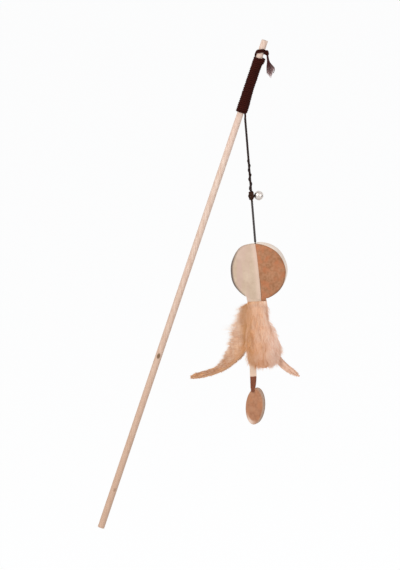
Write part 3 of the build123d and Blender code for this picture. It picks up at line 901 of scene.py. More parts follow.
leather_cream = leather(
    "leather_cream", srgb(216, 193, 170), srgb(198, 172, 148), srgb(96, 84, 80), 0.25, 0.12, 0.95,
    streak=srgb(208, 176, 164), worn=srgb(232, 202, 184),
)
leather_brown = leather(
    "leather_brown", srgb(186, 134, 100), srgb(152, 104, 70), srgb(100, 72, 52), 0.5, 0.15, 0.8,
    streak=srgb(192, 116, 76), streak_long=2.4,
)
leather_white = leather(
    "leather_white", srgb(255, 241, 228), srgb(250, 228, 210), srgb(236, 214, 196), 0.3, 0.1, 0.4
)
tag_brown = leather(
    "tag_brown", srgb(188, 136, 104), srgb(162, 110, 80), srgb(178, 150, 130), 0.45, 0.14, 0.85,
    streak=srgb(188, 126, 88), worn=srgb(240, 218, 200), streak_long=2.0,
)
tag_edge = leather(
    "tag_edge", srgb(232, 204, 184), srgb(196, 166, 146), srgb(176, 150, 132), 0.5, 0.2, 0.3
)
strap_cream = leather(
    "strap_cream", srgb(238, 212, 190), srgb(222, 192, 168), srgb(200, 168, 142), 0.35, 0.1, 0.6
)
print("leather finishes ready")

# %% [markdown]
# A face of the disc is sewn from two half rounds over the stuffing. Each half is a polar grid: height
# falls from the crowned middle to the edge, dips along the seam where the stitches pull it in, and
# rolls over at the rim. Below, the same leather runs on as a tab that holds the feathers. Cloth blown
# up over a pad would crease by itself, but the seam could not be placed so well.

# %% Half a face
stitch_step, leather_thick = 3.2, 1.0
tab_right, tab_foot, tab_top, tab_hidden = neck_right + 1.8, neck_low + 2.0, -22.5, -14.0
back_inset, roll_start, roll_drop, seam_foot = 0.8, 0.93, 1.15, 26.0


def half_face(x, y, height, edge, worn, front):
    """The grid of one half; the back is the same half turned over, with its quads turned to face out."""
    x, y, height, edge, worn = np.broadcast_arrays(x, y, height, edge, worn)
    points = on_lure(x, y, height if front else -height)
    if front:
        return surface(points, edge=edge, worn=worn)
    return surface(points[:, ::-1], edge=edge[:, ::-1], worn=worn[:, ::-1])


def cover(side, front):
    """Half a face: radius share q and angle give x and y; height is crown (1 - q²) less the seam's dip and
    the roll at the rim."""
    q = np.concatenate([np.linspace(0.0, 0.9, 34), np.linspace(0.92, 1.0, 10)])[:, None]
    quarter = math.pi / 2
    first, last = (quarter + seam_lean_top, 3 * quarter + seam_lean)
    if side > 0:
        first, last = last - 4 * quarter, first
    angle = np.linspace(first, last, 97)[None, :]
    reach = (front_reach(angle) if front else disc_reach(angle) - back_inset) * q
    x = reach * np.cos(angle)
    y = reach * np.sin(angle)
    lean_here = np.where(y > 0, seam_lean_top, seam_lean)
    from_seam = x * np.cos(lean_here) + y * np.sin(lean_here)
    in_neck = soft_step((x - neck_left + 1.0) / 1.2) * soft_step((tab_right + 1.0 - x) / 1.2)
    in_neck = in_neck * (y < tab_hidden)
    roll_over = np.clip((q - roll_start) / (1 - roll_start), 0, 1) * (1 - in_neck)
    pull = 0.5 + 0.5 * np.cos(2 * math.pi * y / stitch_step)
    height = half_edge + disc_crown * (1 - q**2) - roll_drop * roll_over**2.2
    height = height - peak(from_seam, 0.8) * (0.5 + 0.2 * pull) * (1 - 0.5 * roll_over)
    height = height + 0.16 * np.sin(3 * angle + 0.6) * q**2 * (1 - q)
    # The mark 'edge' here is painted shade: along the cream half's left edge, and on the brown half along
    # its rolled rim, most at the lower right, and beside the seam.
    if side < 0:
        left_edge_shade = 0.08 + 0.92 * hump(angle, 182, 50) ** 0.6
        edge = np.clip((q - 0.89) / 0.09, 0, 1) * (1 - in_neck) * left_edge_shade
    else:
        rim_roll_shade = roll_over * (0.15 + 0.6 * hump(angle, -42, 36))
        seam_shade = (0.4 + 0.5 * soft_step((6 - y) / 22)) * peak(from_seam - 0.4, 0.65)
        edge = np.maximum(rim_roll_shade, seam_shade)
    # The cream half turns paler towards the seam.
    worn = 0.6 * soft_step((from_seam + 6.0) / 5.0)
    x = x + 0.05 * side + seam_sway * (1 - q**2)
    return half_face(x, y, height, edge if front else 0.4 * edge, worn, front)


print("half faces ready, crown", disc_crown, "mm")

# %% Neck tab and covers


def tab(side, front):
    """The neck's half tab: a strip from the disc's edge to the feathers, drawn in a little at its foot."""
    seam_x = seam_foot * math.sin(seam_lean)
    low, high = (neck_left, seam_x - 0.05) if side < 0 else (seam_x + 0.05, tab_right)
    down = np.linspace(0.0, 1.0, 14)[:, None]
    across = np.linspace(0.0, 1.0, 28)[None, :]
    x = (low + (high - low) * across) * (1 - 0.04 * down)
    y = tab_top + (tab_foot - tab_top) * down + 0 * across
    height = half_edge - 0.12 + 0.12 * np.sin(x * 2.4) * down - 0.35 * down**3
    # Darker along the tab's foot line, and on the brown half darker downwards.
    darker_to_foot = 0.3 * peak(1 - down, 0.08) + (0.55 if side > 0 else 0.0) * down
    return half_face(x, y, height, darker_to_foot + 0 * across, 0.15, front)


def thicken(made, thickness_mm):
    """Leather has a thickness: the sheet is given one behind its outer face."""
    solid = made.modifiers.new("leather", "SOLIDIFY")
    solid.thickness = thickness_mm * MM
    solid.offset = -1.0


for front, word in ((True, "front"), (False, "back")):
    for side, tone, finish in ((-1, "cream", leather_cream), (1, "brown", leather_brown)):
        made = piece(
            f"{word}_{tone}_leather", [cover(side, front), tab(side, front)],
            finish, "lure", [f"{word}_cover_{tone}"],
        )
        thicken(made, leather_thick)

# %% [markdown]
# Between the faces runs the rim band, a pale strip round the edge that stops at the neck. The stuffing
# pushes it out, most of all at the upper right. Inside lies the stuffing, and in the neck a felt plug
# grips the quills. Each is one surface with its own formula. Sculpting them would take longer and show
# no more.

# %% Rim band
rim_ends, rim_inset, rim_lap = (-80.5, 239.7), 0.45, 0.9
rim_least, rim_most, rim_gap = 0.25, 1.8, 0.75
rim_angle = np.radians(np.linspace(*rim_ends, 260))[:, None]
rim_across = np.linspace(-1.0, 1.0, 19)[None, :]
rim_puff = rim_least + rim_most * hump(rim_angle, 56, 32)
rim_over = rim_lap * soft_step((rim_across + 0.3) / 1.3) * (1 - 0.9 * hump(rim_angle, 122, 26))
rim_reach = disc_reach(rim_angle) - rim_inset + rim_over + rim_puff * (1 - rim_across**2) ** 0.7
rim_side = -(half_edge - rim_gap) * rim_across
rim_points = on_lure(rim_reach * np.cos(rim_angle), rim_reach * np.sin(rim_angle), rim_side)
rim = piece(
    "rim_strip", [surface(rim_points, edge=rim_across**8)],
    leather_white, "lure", ["rim_band"],
)
thicken(rim, leather_thick)

# %% Stuffing and plug


def fluff(name, dark, light, scale):
    """Matted fibre, such as wool or felt: two close tones and a deep soft relief."""
    finish = Finish(name)
    tufts = finish.noise(scale, 5.0)
    return finish.dress({
        "Base Color": tufts.mix(dark, light), "Roughness": 0.85 + 0.12 * tufts,
        "Normal": finish.relief(tufts, 0.6, 0.5),
    })


stuffing_wool = fluff("stuffing_wool", srgb(226, 220, 210), srgb(246, 242, 236), 900.0)
plug_felt = fluff("plug_felt", srgb(196, 158, 126), srgb(222, 188, 158), 1300.0)


def squared(value, power=0.3):
    """A wave flattened towards 1 and -1, sign(v) |v|^power, which turns a ball into a soft block."""
    return np.sign(value) * np.abs(value) ** power


ball_rise = np.radians(np.linspace(-90.0, 90.0, 41))[:, None]
ball_turn = full_turn(96)[None, :]
pad_radius, pad_half = 24.4, 7.2
pad_out = pad_radius * np.cos(ball_rise) ** 0.4
pad_rise = pad_half * squared(np.sin(ball_rise), 0.45)
pad_points = on_lure(pad_out * np.cos(ball_turn), pad_out * np.sin(ball_turn), pad_rise)
pad = piece(
    "disc_stuffing", [surface(pad_points, wrap=True)],
    stuffing_wool, "lure", ["stuffing", "anchor_knot"],
)
plug_height, plug_half_wide, plug_half_tall, plug_half_deep = -25.5, 8.3, 4.75, 6.0
plug_points = on_lure(
    (neck_left + neck_right) / 2 + plug_half_wide * squared(np.cos(ball_rise)) * squared(np.cos(ball_turn)),
    plug_height + plug_half_tall * squared(np.sin(ball_rise)),
    -plug_half_deep * squared(np.cos(ball_rise)) * squared(np.sin(ball_turn)),
)
piece(
    "neck_felt", [surface(plug_points[::-1], wrap=True)],
    plug_felt, "lure", ["neck_plug", "quill_roots", "strap_root"],
)

# %% [markdown]
# A feather is a shaft with barbs. Near the root the barbs are loose down, and further out they lie
# close and make a narrow blade. Each lobe gets a soft core surface, so that no light shows through,
# and thousands of barbs that start on it and are combed outwards. Down lets light through, so a little
# of its colour is given back as a faint glow; without it the dense hairs shade each other to grey.

# %% Feather finishes
down_glow = 0.1


def plume(name, root_color, tip_color, shade_color, low_color, heights, tints=()):
    """Barbs: root to tip by the mark 'along', uneven by 'tone', another colour low down, side tints."""
    finish = Finish(name)
    fibre = finish.noise(1.0, 3.0, (900.0, 900.0, 130.0))
    locks = finish.noise(1.0, 3.0, (300.0, 300.0, 55.0))
    side, _, height = finish.axes(finish.place)
    along = finish.mark("along")
    color = along.step(0.0, 1.0).mix(root_color, tip_color)
    near_root = 1 - 0.75 * along.step(0.15, 0.9)
    color = ((1 - height.step(*heights)) * near_root * 0.9).mix(color, low_color)
    for reach, tint in tints:
        color = (side.step(*reach) * (1 - 0.6 * along)).mix(color, tint)
    uneven = 0.55 * finish.mark("tone").step(0.35, 1.0)
    shade = uneven + 0.35 * locks.step(0.42, 0.72) + 0.2 * fibre.step(0.5, 0.75)
    color = shade.mix(color, shade_color)
    return finish.dress({
        "Base Color": color, "Emission Color": color, "Emission Strength": down_glow,
        "Roughness": 0.75 + 0.2 * fibre, "Specular IOR Level": 0.2,
    })


# The ochre tint beside the crease, where the lobe in front lies over the left plume, is painted shade.
plume_buff = plume(
    "plume_buff", srgb(246, 206, 170), srgb(252, 230, 210), srgb(212, 160, 118), srgb(158, 98, 60),
    (0.137, 0.166), [((0.146, 0.1535), srgb(206, 144, 72))],
)
# The lobe's ochre tint at its left, by the crease, is painted shade; the second tint makes its right side
# paler.
plume_peach = plume(
    "plume_peach", srgb(248, 205, 168), srgb(252, 225, 204), srgb(212, 156, 114), srgb(208, 142, 92),
    (0.140, 0.158), [((0.166, 0.157), srgb(216, 158, 100)), ((0.168, 0.181), srgb(255, 234, 222))],
)
vane_peach = plume(
    "vane_peach", srgb(222, 182, 156), srgb(228, 192, 172), srgb(196, 148, 116), srgb(226, 186, 164),
    (0.128, 0.135),
)
quill = Finish("quill_horn")
rings = quill.noise(300.0, 3.0)
quill_color = rings.mix(srgb(188, 136, 94), srgb(210, 162, 120))
quill_horn = quill.dress({"Base Color": quill_color, "Roughness": 0.35 + 0.2 * rings})
print("feather finishes ready")

# %% [markdown]
# Each shaft is drawn with the arcs of its rigid quill, so that the barbs grow from the quill itself. A
# hand-drawn curve beside it would drift away from the quill. The left shaft has two arcs that meet at a
# knee, the right one has a single arc.

# %% Shafts


def arc_to(start, way, end, count=60):
    """Points on the arc that leaves start along way and reaches end; its hub is at right angles to way."""
    start, way, end = np.array(start, float), unit(np.array(way, float)), np.array(end, float)
    normal = np.array([-way[1], way[0]])
    chord = end - start
    radius = chord @ chord / (2 * chord @ normal)
    hub = start + radius * normal
    first = np.arctan2(*(start - hub)[::-1])
    swing = 2 * np.arctan2(chord @ normal, chord @ way)
    angle = first + swing * np.linspace(0.0, 1.0, count)
    return hub + abs(radius) * np.stack([np.cos(angle), np.sin(angle)], axis=1)


quill_drop = 1.05
left_root = np.array([-4.0, neck_low - quill_drop])
left_tip = left_root + np.array([-71.5, -69.75])
bend_radius, bend_angle, tip_lift = 69.0, math.radians(50.0), math.radians(3.0)
left_hub = left_tip + bend_radius * np.array([math.sin(tip_lift), math.cos(tip_lift)])
left_knee = left_hub + bend_radius * np.array([math.sin(bend_angle), -math.cos(bend_angle)])
knee_way = np.array([-math.cos(bend_angle), -math.sin(bend_angle)])
upper_arc, lower_arc = arc_to(left_knee, -knee_way, left_root)[::-1], arc_to(left_knee, knee_way, left_tip)
left_shaft = np.concatenate([upper_arc, lower_arc[1:]])
right_root = np.array([-2.5, neck_low - quill_drop])
right_shaft = arc_to(right_root, (0.0, -1.0), right_root + np.array([33.7, -73.4]))


def shaft_place(shaft, share):
    """The place, direction and outer side on a shaft at a share of its length."""
    run = run_length(shaft)
    place, way = (
        np.stack([np.interp(share, run / run[-1], table[:, axis]) for axis in (0, 1)], axis=-1)
        for table in (shaft, unit(np.gradient(shaft, axis=0)))
    )
    way = unit(way)
    return place, way, np.stack([way[..., 1], -way[..., 0]], axis=-1)


print("left shaft ends at", left_shaft[-1].round(1), "right shaft at", right_shaft[-1].round(1))

# %% [markdown]
# The left feather bends to the lower left with nearly all of its plume on the outer side. Its core is a
# lens beside the shaft. Barbs leave it in locks, almost square to the shaft near the root and close to
# it near the tip, and short ones on the inner side break the shaft's edge.

# %% Left core
left_shares = np.array([0.0, 0.12, 0.25, 0.40, 0.52, 0.64, 0.76, 0.88, 0.96, 1.0])
left_widths = np.array([9.0, 13.5, 16.5, 15.5, 12.0, 8.0, 5.4, 5.0, 4.2, 1.5])
left_depths = np.array([4.0, 5.5, 7.0, 6.4, 4.2, 2.2, 1.4, 1.2, 1.0, 0.5])
left_layer, left_overlap = -1.2, 0.6
left_back, left_front = -9.6, -0.95
hair_drop, hair_margin = 1.6, 1.0


def left_core(share, angle):
    """A lens beside the shaft: out by half of width (1 - cos a), behind it by half of depth (1 - sin a)."""
    place, _, outer = shaft_place(left_shaft, share)
    width = np.interp(share, left_shares, left_widths)
    depth = np.interp(share, left_shares, left_depths)
    out = -left_overlap + (width + left_overlap) * 0.5 * (1 - np.cos(angle))
    flat = place + outer * out[..., None]
    return flat[..., 0], flat[..., 1], left_layer - depth * 0.5 * (1 - np.sin(angle))


core_share, core_angle = np.meshgrid(np.linspace(0.0, 1.0, 90), full_turn(32), indexing="ij")
# The core takes the darkest tone: painted shade of the barbs over it.
left_body = surface(on_lure(*left_core(core_share, core_angle)), wrap=True, caps=True, along=0.15, tone=1.0)
print("left core:", len(left_body[0]), "points")

# %% Left barbs


def locks_of(count, lock_count):
    """Which lock each hair belongs to, and a shade for each hair that is mostly its lock's."""
    lock = rng.integers(0, lock_count, count)
    return lock, 0.65 * rng.random(lock_count)[lock] + 0.35 * rng.random(count)


def lure_hairs(root, bend, tip, thick, shade=None):
    """Needles whose starts, bends and tips are given in the lure's frame."""
    return needles(on_lure(*root.T), on_lure(*bend.T), on_lure(*tip.T), thick, shade)


def left_barbs(count, low, high, lengths, lock_count, inner=False):
    """Barbs on the left core in locks: each leaves between the shaft's way and its outer or inner side."""
    lock, shade = locks_of(count, lock_count)
    share = np.clip(spread(low, high, lock_count)[lock] + rng.normal(0, 0.018, count), low, high)
    turn_side = np.where(rng.random(lock_count) < 0.62, 1, -1)
    angle = (np.arccos(spread(-1.0, 1.0, lock_count)) * turn_side)[lock] + rng.normal(0, 0.12, count)
    if inner:
        angle = spread(0.0, 0.5, count)
        shade = 0.7 + 0.3 * shade
    root = np.stack(left_core(share, angle), axis=-1)
    _, way, outer = shaft_place(left_shaft, share)
    outer = -outer if inner else outer
    lean_out = np.interp(share, [0, 0.3, 0.55, 0.75, 1.0], [84, 68, 46, 24, 10])
    lie = np.radians(lean_out + spread(-11, 11, lock_count)[lock] + rng.normal(0, 4, count))
    lift = np.sin(angle) * (spread(0.02, 0.2, count) + 0.3 * np.clip(np.cos(angle), 0, 1))
    aimed = np.cos(lie)[:, None] * way + np.sin(lie)[:, None] * outer
    length = np.interp(share, *lengths) * spread(0.55, 1.1, lock_count)[lock] * spread(0.8, 1.05, count)
    step = np.concatenate([aimed * length[:, None], (lift * length)[:, None]], axis=1)
    droop = -0.10 * length * spread(0.0, 1.5, lock_count)[lock]
    tip = root + step + droop[:, None] * np.array([0.0, 1.0, 0.0])
    bend = root + 0.5 * step
    for place in (bend, tip):
        under_neck = np.minimum(place[:, 1], neck_low - hair_drop)
        place[:, 1] = np.where(place[:, 0] > neck_left - hair_margin, under_neck, place[:, 1])
        place[:, 2] = np.clip(place[:, 2], left_back, left_front)
    return lure_hairs(root, bend, tip, spread(0.10, 0.19, count), shade)


down_lengths = ([0, 0.2, 0.45, 0.6, 0.75, 1.0], [14.0, 13.5, 8.6, 6.0, 4.4, 2.6])
wisp_lengths = ([0, 0.4], [19.5, 16.0])
inner_lengths = ([0.4, 0.6, 0.9, 1.0], [2.0, 2.6, 3.2, 2.4])
left_parts = [
    left_body,
    left_barbs(4400, 0.0, 0.66, down_lengths, 260),
    left_barbs(1300, 0.55, 0.985, down_lengths, 120),
    left_barbs(420, 0.0, 0.34, wisp_lengths, 60),
    left_barbs(700, 0.42, 0.985, inner_lengths, 200, inner=True),
]
piece("left_plume_barbs", left_parts, plume_buff, "left_feather", ["left_plume"])

# %% [markdown]
# The right feather carries a lobe of down in front of it. Its core is a soft bag: across each height
# the outline is an ellipse between the lobe's left and right edges. The down is combed downwards and
# out to both sides, and hangs past the core as a fringe. A collar of hairs comes out from under the
# neck's tab and hides the core's top.

# %% Core of the down
lobe_heights = np.array([-31.4, -38.0, -47.0, -55.0, -63.0, -71.0, -79.0, -86.0, -91.5, -94.0])
lobe_lefts = np.array([-10.5, -11.6, -12.6, -13.6, -14.8, -15.6, -15.0, -12.6, -9.6, -4.0])
lobe_rights = np.array([4.6, 3.8, 3.8, 7.4, 12.2, 14.8, 13.0, 9.6, 4.4, 0.4])
lobe_depths = np.array([3.0, 4.6, 6.0, 6.8, 7.2, 7.0, 6.4, 5.0, 3.4, 1.2])
lobe_layer = 4.1
down_back, down_front, back_shift = 3.72, 13.5, 0.25


def lobe(height, angle):
    """The down's core: x swings between the lobe's edges with cos a, and depth grows with 1 + sin a."""
    left, right_edge, depth = (
        np.interp(height, lobe_heights[::-1], row[::-1]) for row in (lobe_lefts, lobe_rights, lobe_depths)
    )
    x = (left + right_edge) / 2 + (right_edge - left) / 2 * np.cos(angle)
    return x, height, lobe_layer + depth * 0.5 * (1 + np.sin(angle))


lobe_levels = np.linspace(lobe_heights[0], lobe_heights[-1], 80)
lobe_rows, lobe_turn = np.meshgrid(lobe_levels, full_turn(48), indexing="ij")
# The core takes the darkest tone: painted shade of the down over it.
lobe_body = surface(on_lure(*lobe(lobe_rows, lobe_turn)), wrap=True, caps=True, along=0.1, tone=1.0)
print("core of the down:", len(lobe_body[0]), "points")

# %% Down on the lobe


def lobe_down(count, low, high, reach, lock_count, turns=(-0.5, math.pi + 0.5), flare=0.0, back=False):
    """Down on the core in locks: hairs start on its surface and are combed down, outwards at its sides."""
    lock, shade = locks_of(count, lock_count)
    height = np.clip(spread(low, high, lock_count)[lock] + rng.normal(0, 1.6, count), low, high)
    angle = spread(*turns, lock_count)[lock] + rng.normal(0, 0.1, count)
    root = np.stack(lobe(height, angle), axis=-1)
    length = reach * spread(0.6, 1.2, lock_count)[lock] * spread(0.8, 1.05, count)
    fan = np.cos(angle) * spread(0.15, 0.8, lock_count)[lock] + spread(-0.2, 0.2, lock_count)[lock] + flare
    lift = np.maximum(np.sin(angle), 0) * spread(0.02, 0.34, lock_count)[lock]
    tip = root + unit(np.stack([fan, -np.ones(count), lift], axis=1)) * length[:, None]
    bend = root + unit(np.stack([1.5 * fan, -np.ones(count), 2.5 * lift], axis=1)) * (0.5 * length)[:, None]
    if back:
        for place in (root, bend, tip):
            place[:, 2] = np.maximum(place[:, 2] - back_shift, down_back)
    tip[:, 2] = np.clip(tip[:, 2], down_back, down_front)
    return lure_hairs(root, bend, tip, spread(0.10, 0.18, count), shade)


back_down = lobe_down(1500, -89.0, -34.0, 7.0, 150, (math.pi + 0.3, 2 * math.pi - 0.3), back=True)
side_wisps = lobe_down(150, -63.0, -45.0, 8.0, 8, (-0.3, 0.3), 1.3)
collar_count, collar_fan = 420, 0.06
collar_ranges = ((neck_left + 0.8, tab_right), (tab_foot - 0.4, tab_foot + 1.4), (7.0, 7.7))
collar_root = scatter(collar_count, *collar_ranges)
collar_fall = scatter(collar_count, (-0.9, 0.9), (-4.5, -8.5), (0.0, 0.9))
collar_fall[:, 0] += collar_fan * collar_root[:, 0]
collar_bend = collar_root + 0.5 * collar_fall + np.array([0.0, 0.0, 0.5])
collar = lure_hairs(collar_root, collar_bend, collar_root + collar_fall, spread(0.12, 0.2, collar_count))
top_down = lobe_down(320, -37.0, -31.6, 6.5, 70, (0.2, math.pi - 0.2))
main_down = lobe_down(4500, -87.0, -31.6, 7.5, 480)
low_down = lobe_down(900, -93.0, -78.0, 4.5, 90)
lobe_parts = [lobe_body, main_down, low_down, top_down, back_down, side_wisps, collar]
piece("right_down_fluff", lobe_parts, plume_peach, "right_feather", ["right_down"])

# %% [markdown]
# The right feather's own blade shows below the down. It is a thin strip along the shaft with a shallow
# trough, and short barbs at a small angle break its edges. A flat card would be quicker, but its edge
# would be a clean cut.

# %% Right vane
vane_shares = np.array([0.45, 0.55, 0.66, 0.78, 0.88, 0.95, 1.0])
vane_lower = np.array([1.0, 3.0, 5.4, 5.8, 4.0, 2.0, 0.3])
vane_upper = np.array([0.4, 0.4, 0.5, 1.2, 2.3, 2.3, 0.4])
vane_layer, vane_trough = 2.95, 0.45


def vane_sheet(share, across):
    """The vane: a strip along the shaft, across from -1 to 1, with a shallow trough along the shaft."""
    place, _, outer = shaft_place(right_shaft, share)
    lower, upper = np.interp(share, vane_shares, vane_lower), np.interp(share, vane_shares, vane_upper)
    flat = place + outer * (across * np.where(across > 0, lower, upper))[..., None]
    return flat[..., 0], flat[..., 1], vane_layer + vane_trough * across**2


def vane_barbs(count):
    """Short barbs on the strip: each leaves it a little outwards of the shaft's way."""
    share = spread(0.5, 0.97, count)
    across = spread(0.15, 1.0, count) * np.where(rng.random(count) < 0.5, 1, -1)
    root = np.stack(vane_sheet(share, across), axis=-1)
    _, way, outer = shaft_place(right_shaft, share)
    length = spread(1.2, 2.8, count) * np.interp(share, [0.5, 0.9, 1.0], [1.2, 1.0, 0.4])
    aimed = unit(way + outer * (np.sign(across) * spread(0.15, 0.5, count))[:, None])
    layer = 3.0 + 0.5 * rng.random(count)
    tip = np.concatenate([root[:, :2] + aimed * length[:, None], layer[:, None]], axis=1)
    return lure_hairs(root, (root + tip) / 2, tip, spread(0.08, 0.14, count))


vane_rows, vane_cols = np.meshgrid(np.linspace(0.45, 1.0, 60), np.linspace(-1, 1, 13), indexing="ij")
vane_body = surface(on_lure(*vane_sheet(vane_rows, vane_cols)), along=0.5, tone=0.4)
piece(
    "right_vane_barbs", [vane_body, vane_barbs(900)],
    vane_peach, "right_feather", ["right_vane"],
)

# %% [markdown]
# The strap is a leather tape, so its surface is a narrow strip with rounded edges and a slight
# waviness. A sheet with a thickness would do too, but its cut edges would be sharp.

# %% Strap
strap_top = 2.8
strap_root = np.array([-9.6, neck_low - 0.3 - strap_top])
strap_lean = math.radians(3.3)
strap_down = np.array([-math.sin(strap_lean), -math.cos(strap_lean)])
strap_right = np.array([-strap_down[1], strap_down[0]])
strap_length, tie_length = 67.7, 13.4
tape_turn = full_turn(24)[None, :]


def on_strap(run, across, deep):
    """Points of the strap's frame: run down it, across to its right, deep out of its front."""
    x = strap_root[0] + strap_down[0] * run + strap_right[0] * across
    y = strap_root[1] + strap_down[1] * run + strap_right[1] * across
    return on_lure(x, y, deep)


tape_narrow, tape_widen, tape_right = 3.2, 1.3, 2.7
tape_half_thick, tape_round, tape_wave = 0.45, 0.55, 0.12
tape_run = np.linspace(-2.4, strap_length + 3.2, 70)[:, None]
widening = soft_step((strap_length - 3.0 - tape_run) / 24) * soft_step((tape_run - 28.0) / 14)
tape_flare = tape_narrow + tape_widen * widening
round_top = np.sqrt(np.clip(1 - (tape_run / strap_top) ** 2, 0, 1))
tape_half = tape_flare * np.where(tape_run < 0, round_top, 1.0)
tape_side = tape_half * squared(np.cos(tape_turn), tape_round) + tape_right - tape_flare
tape_bow = tape_wave * np.sin(tape_run * 0.16)
tape_deep = tape_half_thick * squared(np.sin(tape_turn), tape_round) + tape_bow
tape_points = on_strap(tape_run, tape_side, tape_deep)
tape_edge = np.abs(np.cos(tape_turn)) ** 12
piece(
    "strap_tape", [surface(tape_points[:, ::-1], wrap=True, caps=True, edge=tape_edge)],
    strap_cream, "strap", ["tag_strap"],
)

# %% [markdown]
# A dark thread binds the strap's lower end and narrows to a blunt point that lies over the tag's top
# edge. It is a helix round a core, because a core with a striped relief would show a smooth outline.

# %% Tie
tie_brown = cotton("tie_brown", srgb(100, 58, 42), srgb(188, 118, 88))
tie_turns, tie_thread, tie_lay = 13.0, 0.56, 2.4
tie_start, tie_reach = strap_length + 2.1, tie_length + 0.7
tie_wide, tie_forward = 2.65, 3.9


def tie_middle(fall):
    """The tie's middle: down the strap, a little to the left, and forward over the tag's top edge."""
    return tie_start + tie_reach * fall, -0.4 - 0.5 * fall, tie_forward * fall**2.6


def round_tie(fall, angle, depth, narrowing):
    """Points round the tie's middle, on an oval that shrinks from the strap's width to a blunt point:
    half wide is wide (1 - 0.08 f - 0.5 f³), half deep is depth - narrowing f."""
    run, side, deep = tie_middle(fall)
    half = tie_wide * (1 - 0.08 * fall - 0.5 * fall**3)
    return on_strap(run, side + half * np.cos(angle), deep + (depth - narrowing * fall) * np.sin(angle))


tie_turn = np.linspace(0.0, tie_turns, 420)
tie_fall = tie_turn / tie_turn[-1]
thread_line = round_tie(tie_fall, 2 * math.pi * tie_turn, 1.05, 0.75)
thread_out = thread_line - on_strap(*tie_middle(tie_fall))
thread = laid_cord(thread_line, tie_thread, thread_out, tie_lay, 12, 2)
core_points = round_tie(np.linspace(0.0, 1.0, 30)[:, None], tape_turn, 0.8, 0.5)
# The core takes mostly the groove colour: painted shade between the thread's turns.
tie_core = surface(core_points[:, ::-1], wrap=True, caps=True, groove=0.6)
piece("tie_thread", [thread, tie_core], tie_brown, "strap", ["tag_tie"])

# %% [markdown]
# The tag is two brown leather ovals on a paler core. It hangs a little turned, so its cut edge shows at
# the right as a light line. Each layer is a ball flattened by powers of its waves, which gives soft
# edges without a bevel.

# %% Tag
tag_tilt, tag_yaw = math.radians(-11.0), math.radians(-15.0)
tag_wide, tag_tall = 9.25, 18.0
tag_hang = strap_root + strap_down * (strap_length + tie_length + 0.3)
tag_rise = 1 / math.hypot(math.cos(tag_tilt) / tag_tall, math.sin(tag_tilt) / tag_wide)


def on_tag(x, y, z):
    """Points of the tag's own frame: tilted in its plane, turned about its height, hung under the tie."""
    x, y, z = np.broadcast_arrays(x, y, z)
    tilted_x = x * math.cos(tag_tilt) - y * math.sin(tag_tilt)
    tilted_y = x * math.sin(tag_tilt) + y * math.cos(tag_tilt)
    turned_x = tilted_x * math.cos(tag_yaw) + z * math.sin(tag_yaw)
    turned_z = -tilted_x * math.sin(tag_yaw) + z * math.cos(tag_yaw)
    return on_lure(turned_x + tag_hang[0], tilted_y + tag_hang[1] - tag_rise, turned_z)


def oval_slab(low, high, inset, soft):
    """A soft oval slab: the outline is an ellipse, and a squared wave rounds it over from face to face."""
    out = np.cos(ball_rise) ** soft
    x = (tag_wide - inset) * out * np.cos(ball_turn)
    y = (tag_tall - inset) * out * np.sin(ball_turn)
    z = (low + high) / 2 + (high - low) / 2 * squared(np.sin(ball_rise), soft * 1.2)
    border = soft_step((out - 0.86) / 0.1)
    near_outline = soft_step((out - 0.74) / 0.12)
    cut = peak(np.sin(ball_rise), 0.25)
    edge = np.maximum(cut, border * (0.5 + 0.5 * soft_step(np.cos(ball_turn))))
    # A paler patch near the outline at the lower left.
    worn = 0.8 * near_outline * hump(ball_turn, 250, 30)
    return surface(on_tag(x, y, z), wrap=True, edge=edge * (1 - worn), worn=worn)


core_half, tag_half, core_inset = 1.0, 2.5, 0.3
leather_soft, core_soft = 0.22, 0.12
slabs = (
    ("tag_front_leather", (core_half, tag_half, 0.0, leather_soft), tag_brown, "tag_brown", "tag_front"),
    ("tag_back_leather", (-tag_half, -core_half, 0.0, leather_soft), tag_brown, "tag_brown", "tag_back"),
    ("tag_middle_layer", (-core_half, core_half, core_inset, core_soft), tag_edge, "tag_edge", "tag_core"),
)
for name, form, finish, slot, node in slabs:
    piece(name, [oval_slab(*form)], finish, "tag", [node])

# %% [markdown]
# The rod, the bell and the quills keep their rigid meshes and only take a finish. Wood grain is noise
# drawn out along the rod's axis, with two small dark pin knots where twigs grew. A ring texture would
# be truer to a log, but a dowel shows its rings only at the ends.

# %% Rod finish
rod = Finish("rod_wood")
upright_turn = (0.0, -lean, 0.0)
streaks = rod.noise(1.0, 4.0, (900.0, 900.0, 26.0), upright_turn)
pores = rod.noise(1.0, 2.0, (3200.0, 3200.0, 160.0), upright_turn)
clouds = rod.noise(1.0, 3.0, (60.0, 60.0, 14.0), upright_turn)
turned = rod.add("ShaderNodeMapping", inputs={"Vector": rod.place, "Rotation": upright_turn})
rod_x, rod_y, rod_z = rod.axes(turned)


def pin_knot(across_mm, along_mm, wide_mm, tall_mm):
    """1 inside a small oval on the rod's front, falling to 0 outside it."""
    u = (rod_x - across_mm * MM) / (wide_mm * MM)
    v = (rod_z - along_mm * MM) / (tall_mm * MM)
    return (1 - (u * u + v * v).step(0.15, 1.0)) * (1 - rod_y.step(-0.0012, 0.0002))


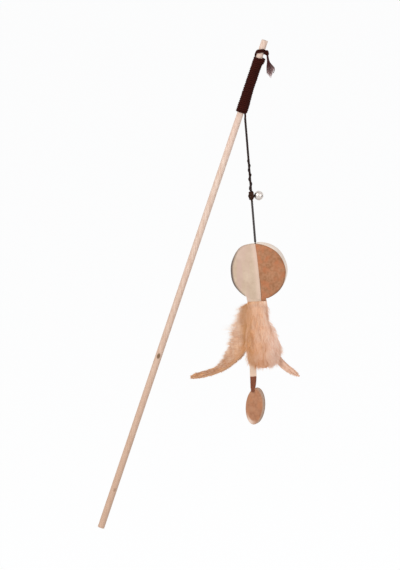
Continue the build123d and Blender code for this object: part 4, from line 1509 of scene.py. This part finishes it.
wood = streaks.step(0.3, 0.72).mix(srgb(236, 212, 196), srgb(212, 180, 160))
layers = (
    (clouds.step(0.4, 0.7) * 0.5, srgb(230, 198, 182)),
    ((1 - rod_z.step(0.02, 0.40)) * 0.68, srgb(194, 154, 124)),
    ((1 - pores.step(0.25, 0.45)) * 0.4, srgb(168, 126, 98)),
    (pin_knot(-0.3, 177.0, 2.0, 3.6) * 0.95, srgb(112, 82, 50)),
    (pin_knot(0.6, 39.5, 1.5, 2.6) * 0.45, srgb(140, 104, 74)),
)
for share, tint in layers:
    wood = share.mix(wood, tint)
rod_relief = rod.relief(pores * 0.6 + streaks * 0.4, 0.35, 0.12)
rod_wood = rod.dress({"Base Color": wood, "Roughness": 0.55 + 0.2 * streaks, "Normal": rod_relief})
print("rod finish ready")

# %% [markdown]
# The bell is nickel with a fine satin and a warm tint, its ring and pellet are plain steel. Noise in the
# roughness breaks the reflections as thin plating does; a single value would look like chrome.

# %% Metal finishes


def metal(name, light, dark, low_rough, high_rough):
    """Plated metal: fine satin noise in its roughness and a slight tarnish in its colour."""
    finish = Finish(name)
    satin, tarnish = finish.noise(1500.0, 4.0), finish.noise(420.0, 3.0)
    return finish.dress({
        "Base Color": (tarnish.step(0.5, 0.8) * 0.6).mix(light, dark), "Metallic": 1.0,
        "Roughness": low_rough + (high_rough - low_rough) * satin,
        "Normal": finish.relief(satin, 0.15, 0.03),
    })


nickel = metal("nickel", srgb(214, 206, 200), srgb(150, 138, 128), 0.2, 0.38)
ring_steel = metal("ring_steel", srgb(150, 138, 126), srgb(110, 98, 88), 0.3, 0.5)
pellet_steel = metal("pellet_steel", srgb(190, 190, 190), srgb(140, 140, 140), 0.3, 0.5)
finishes = {
    "wand_rod": rod_wood, "bell_cap": nickel, "bell_bowl": nickel, "bell_ring": ring_steel,
    "bell_pellet": pellet_steel, "left_quill": quill_horn, "right_quill": quill_horn,
}
for name, finish in finishes.items():
    for slot in nodes[name].material_slots:
        slot.material = finish
print("finishes on", sorted(finishes))
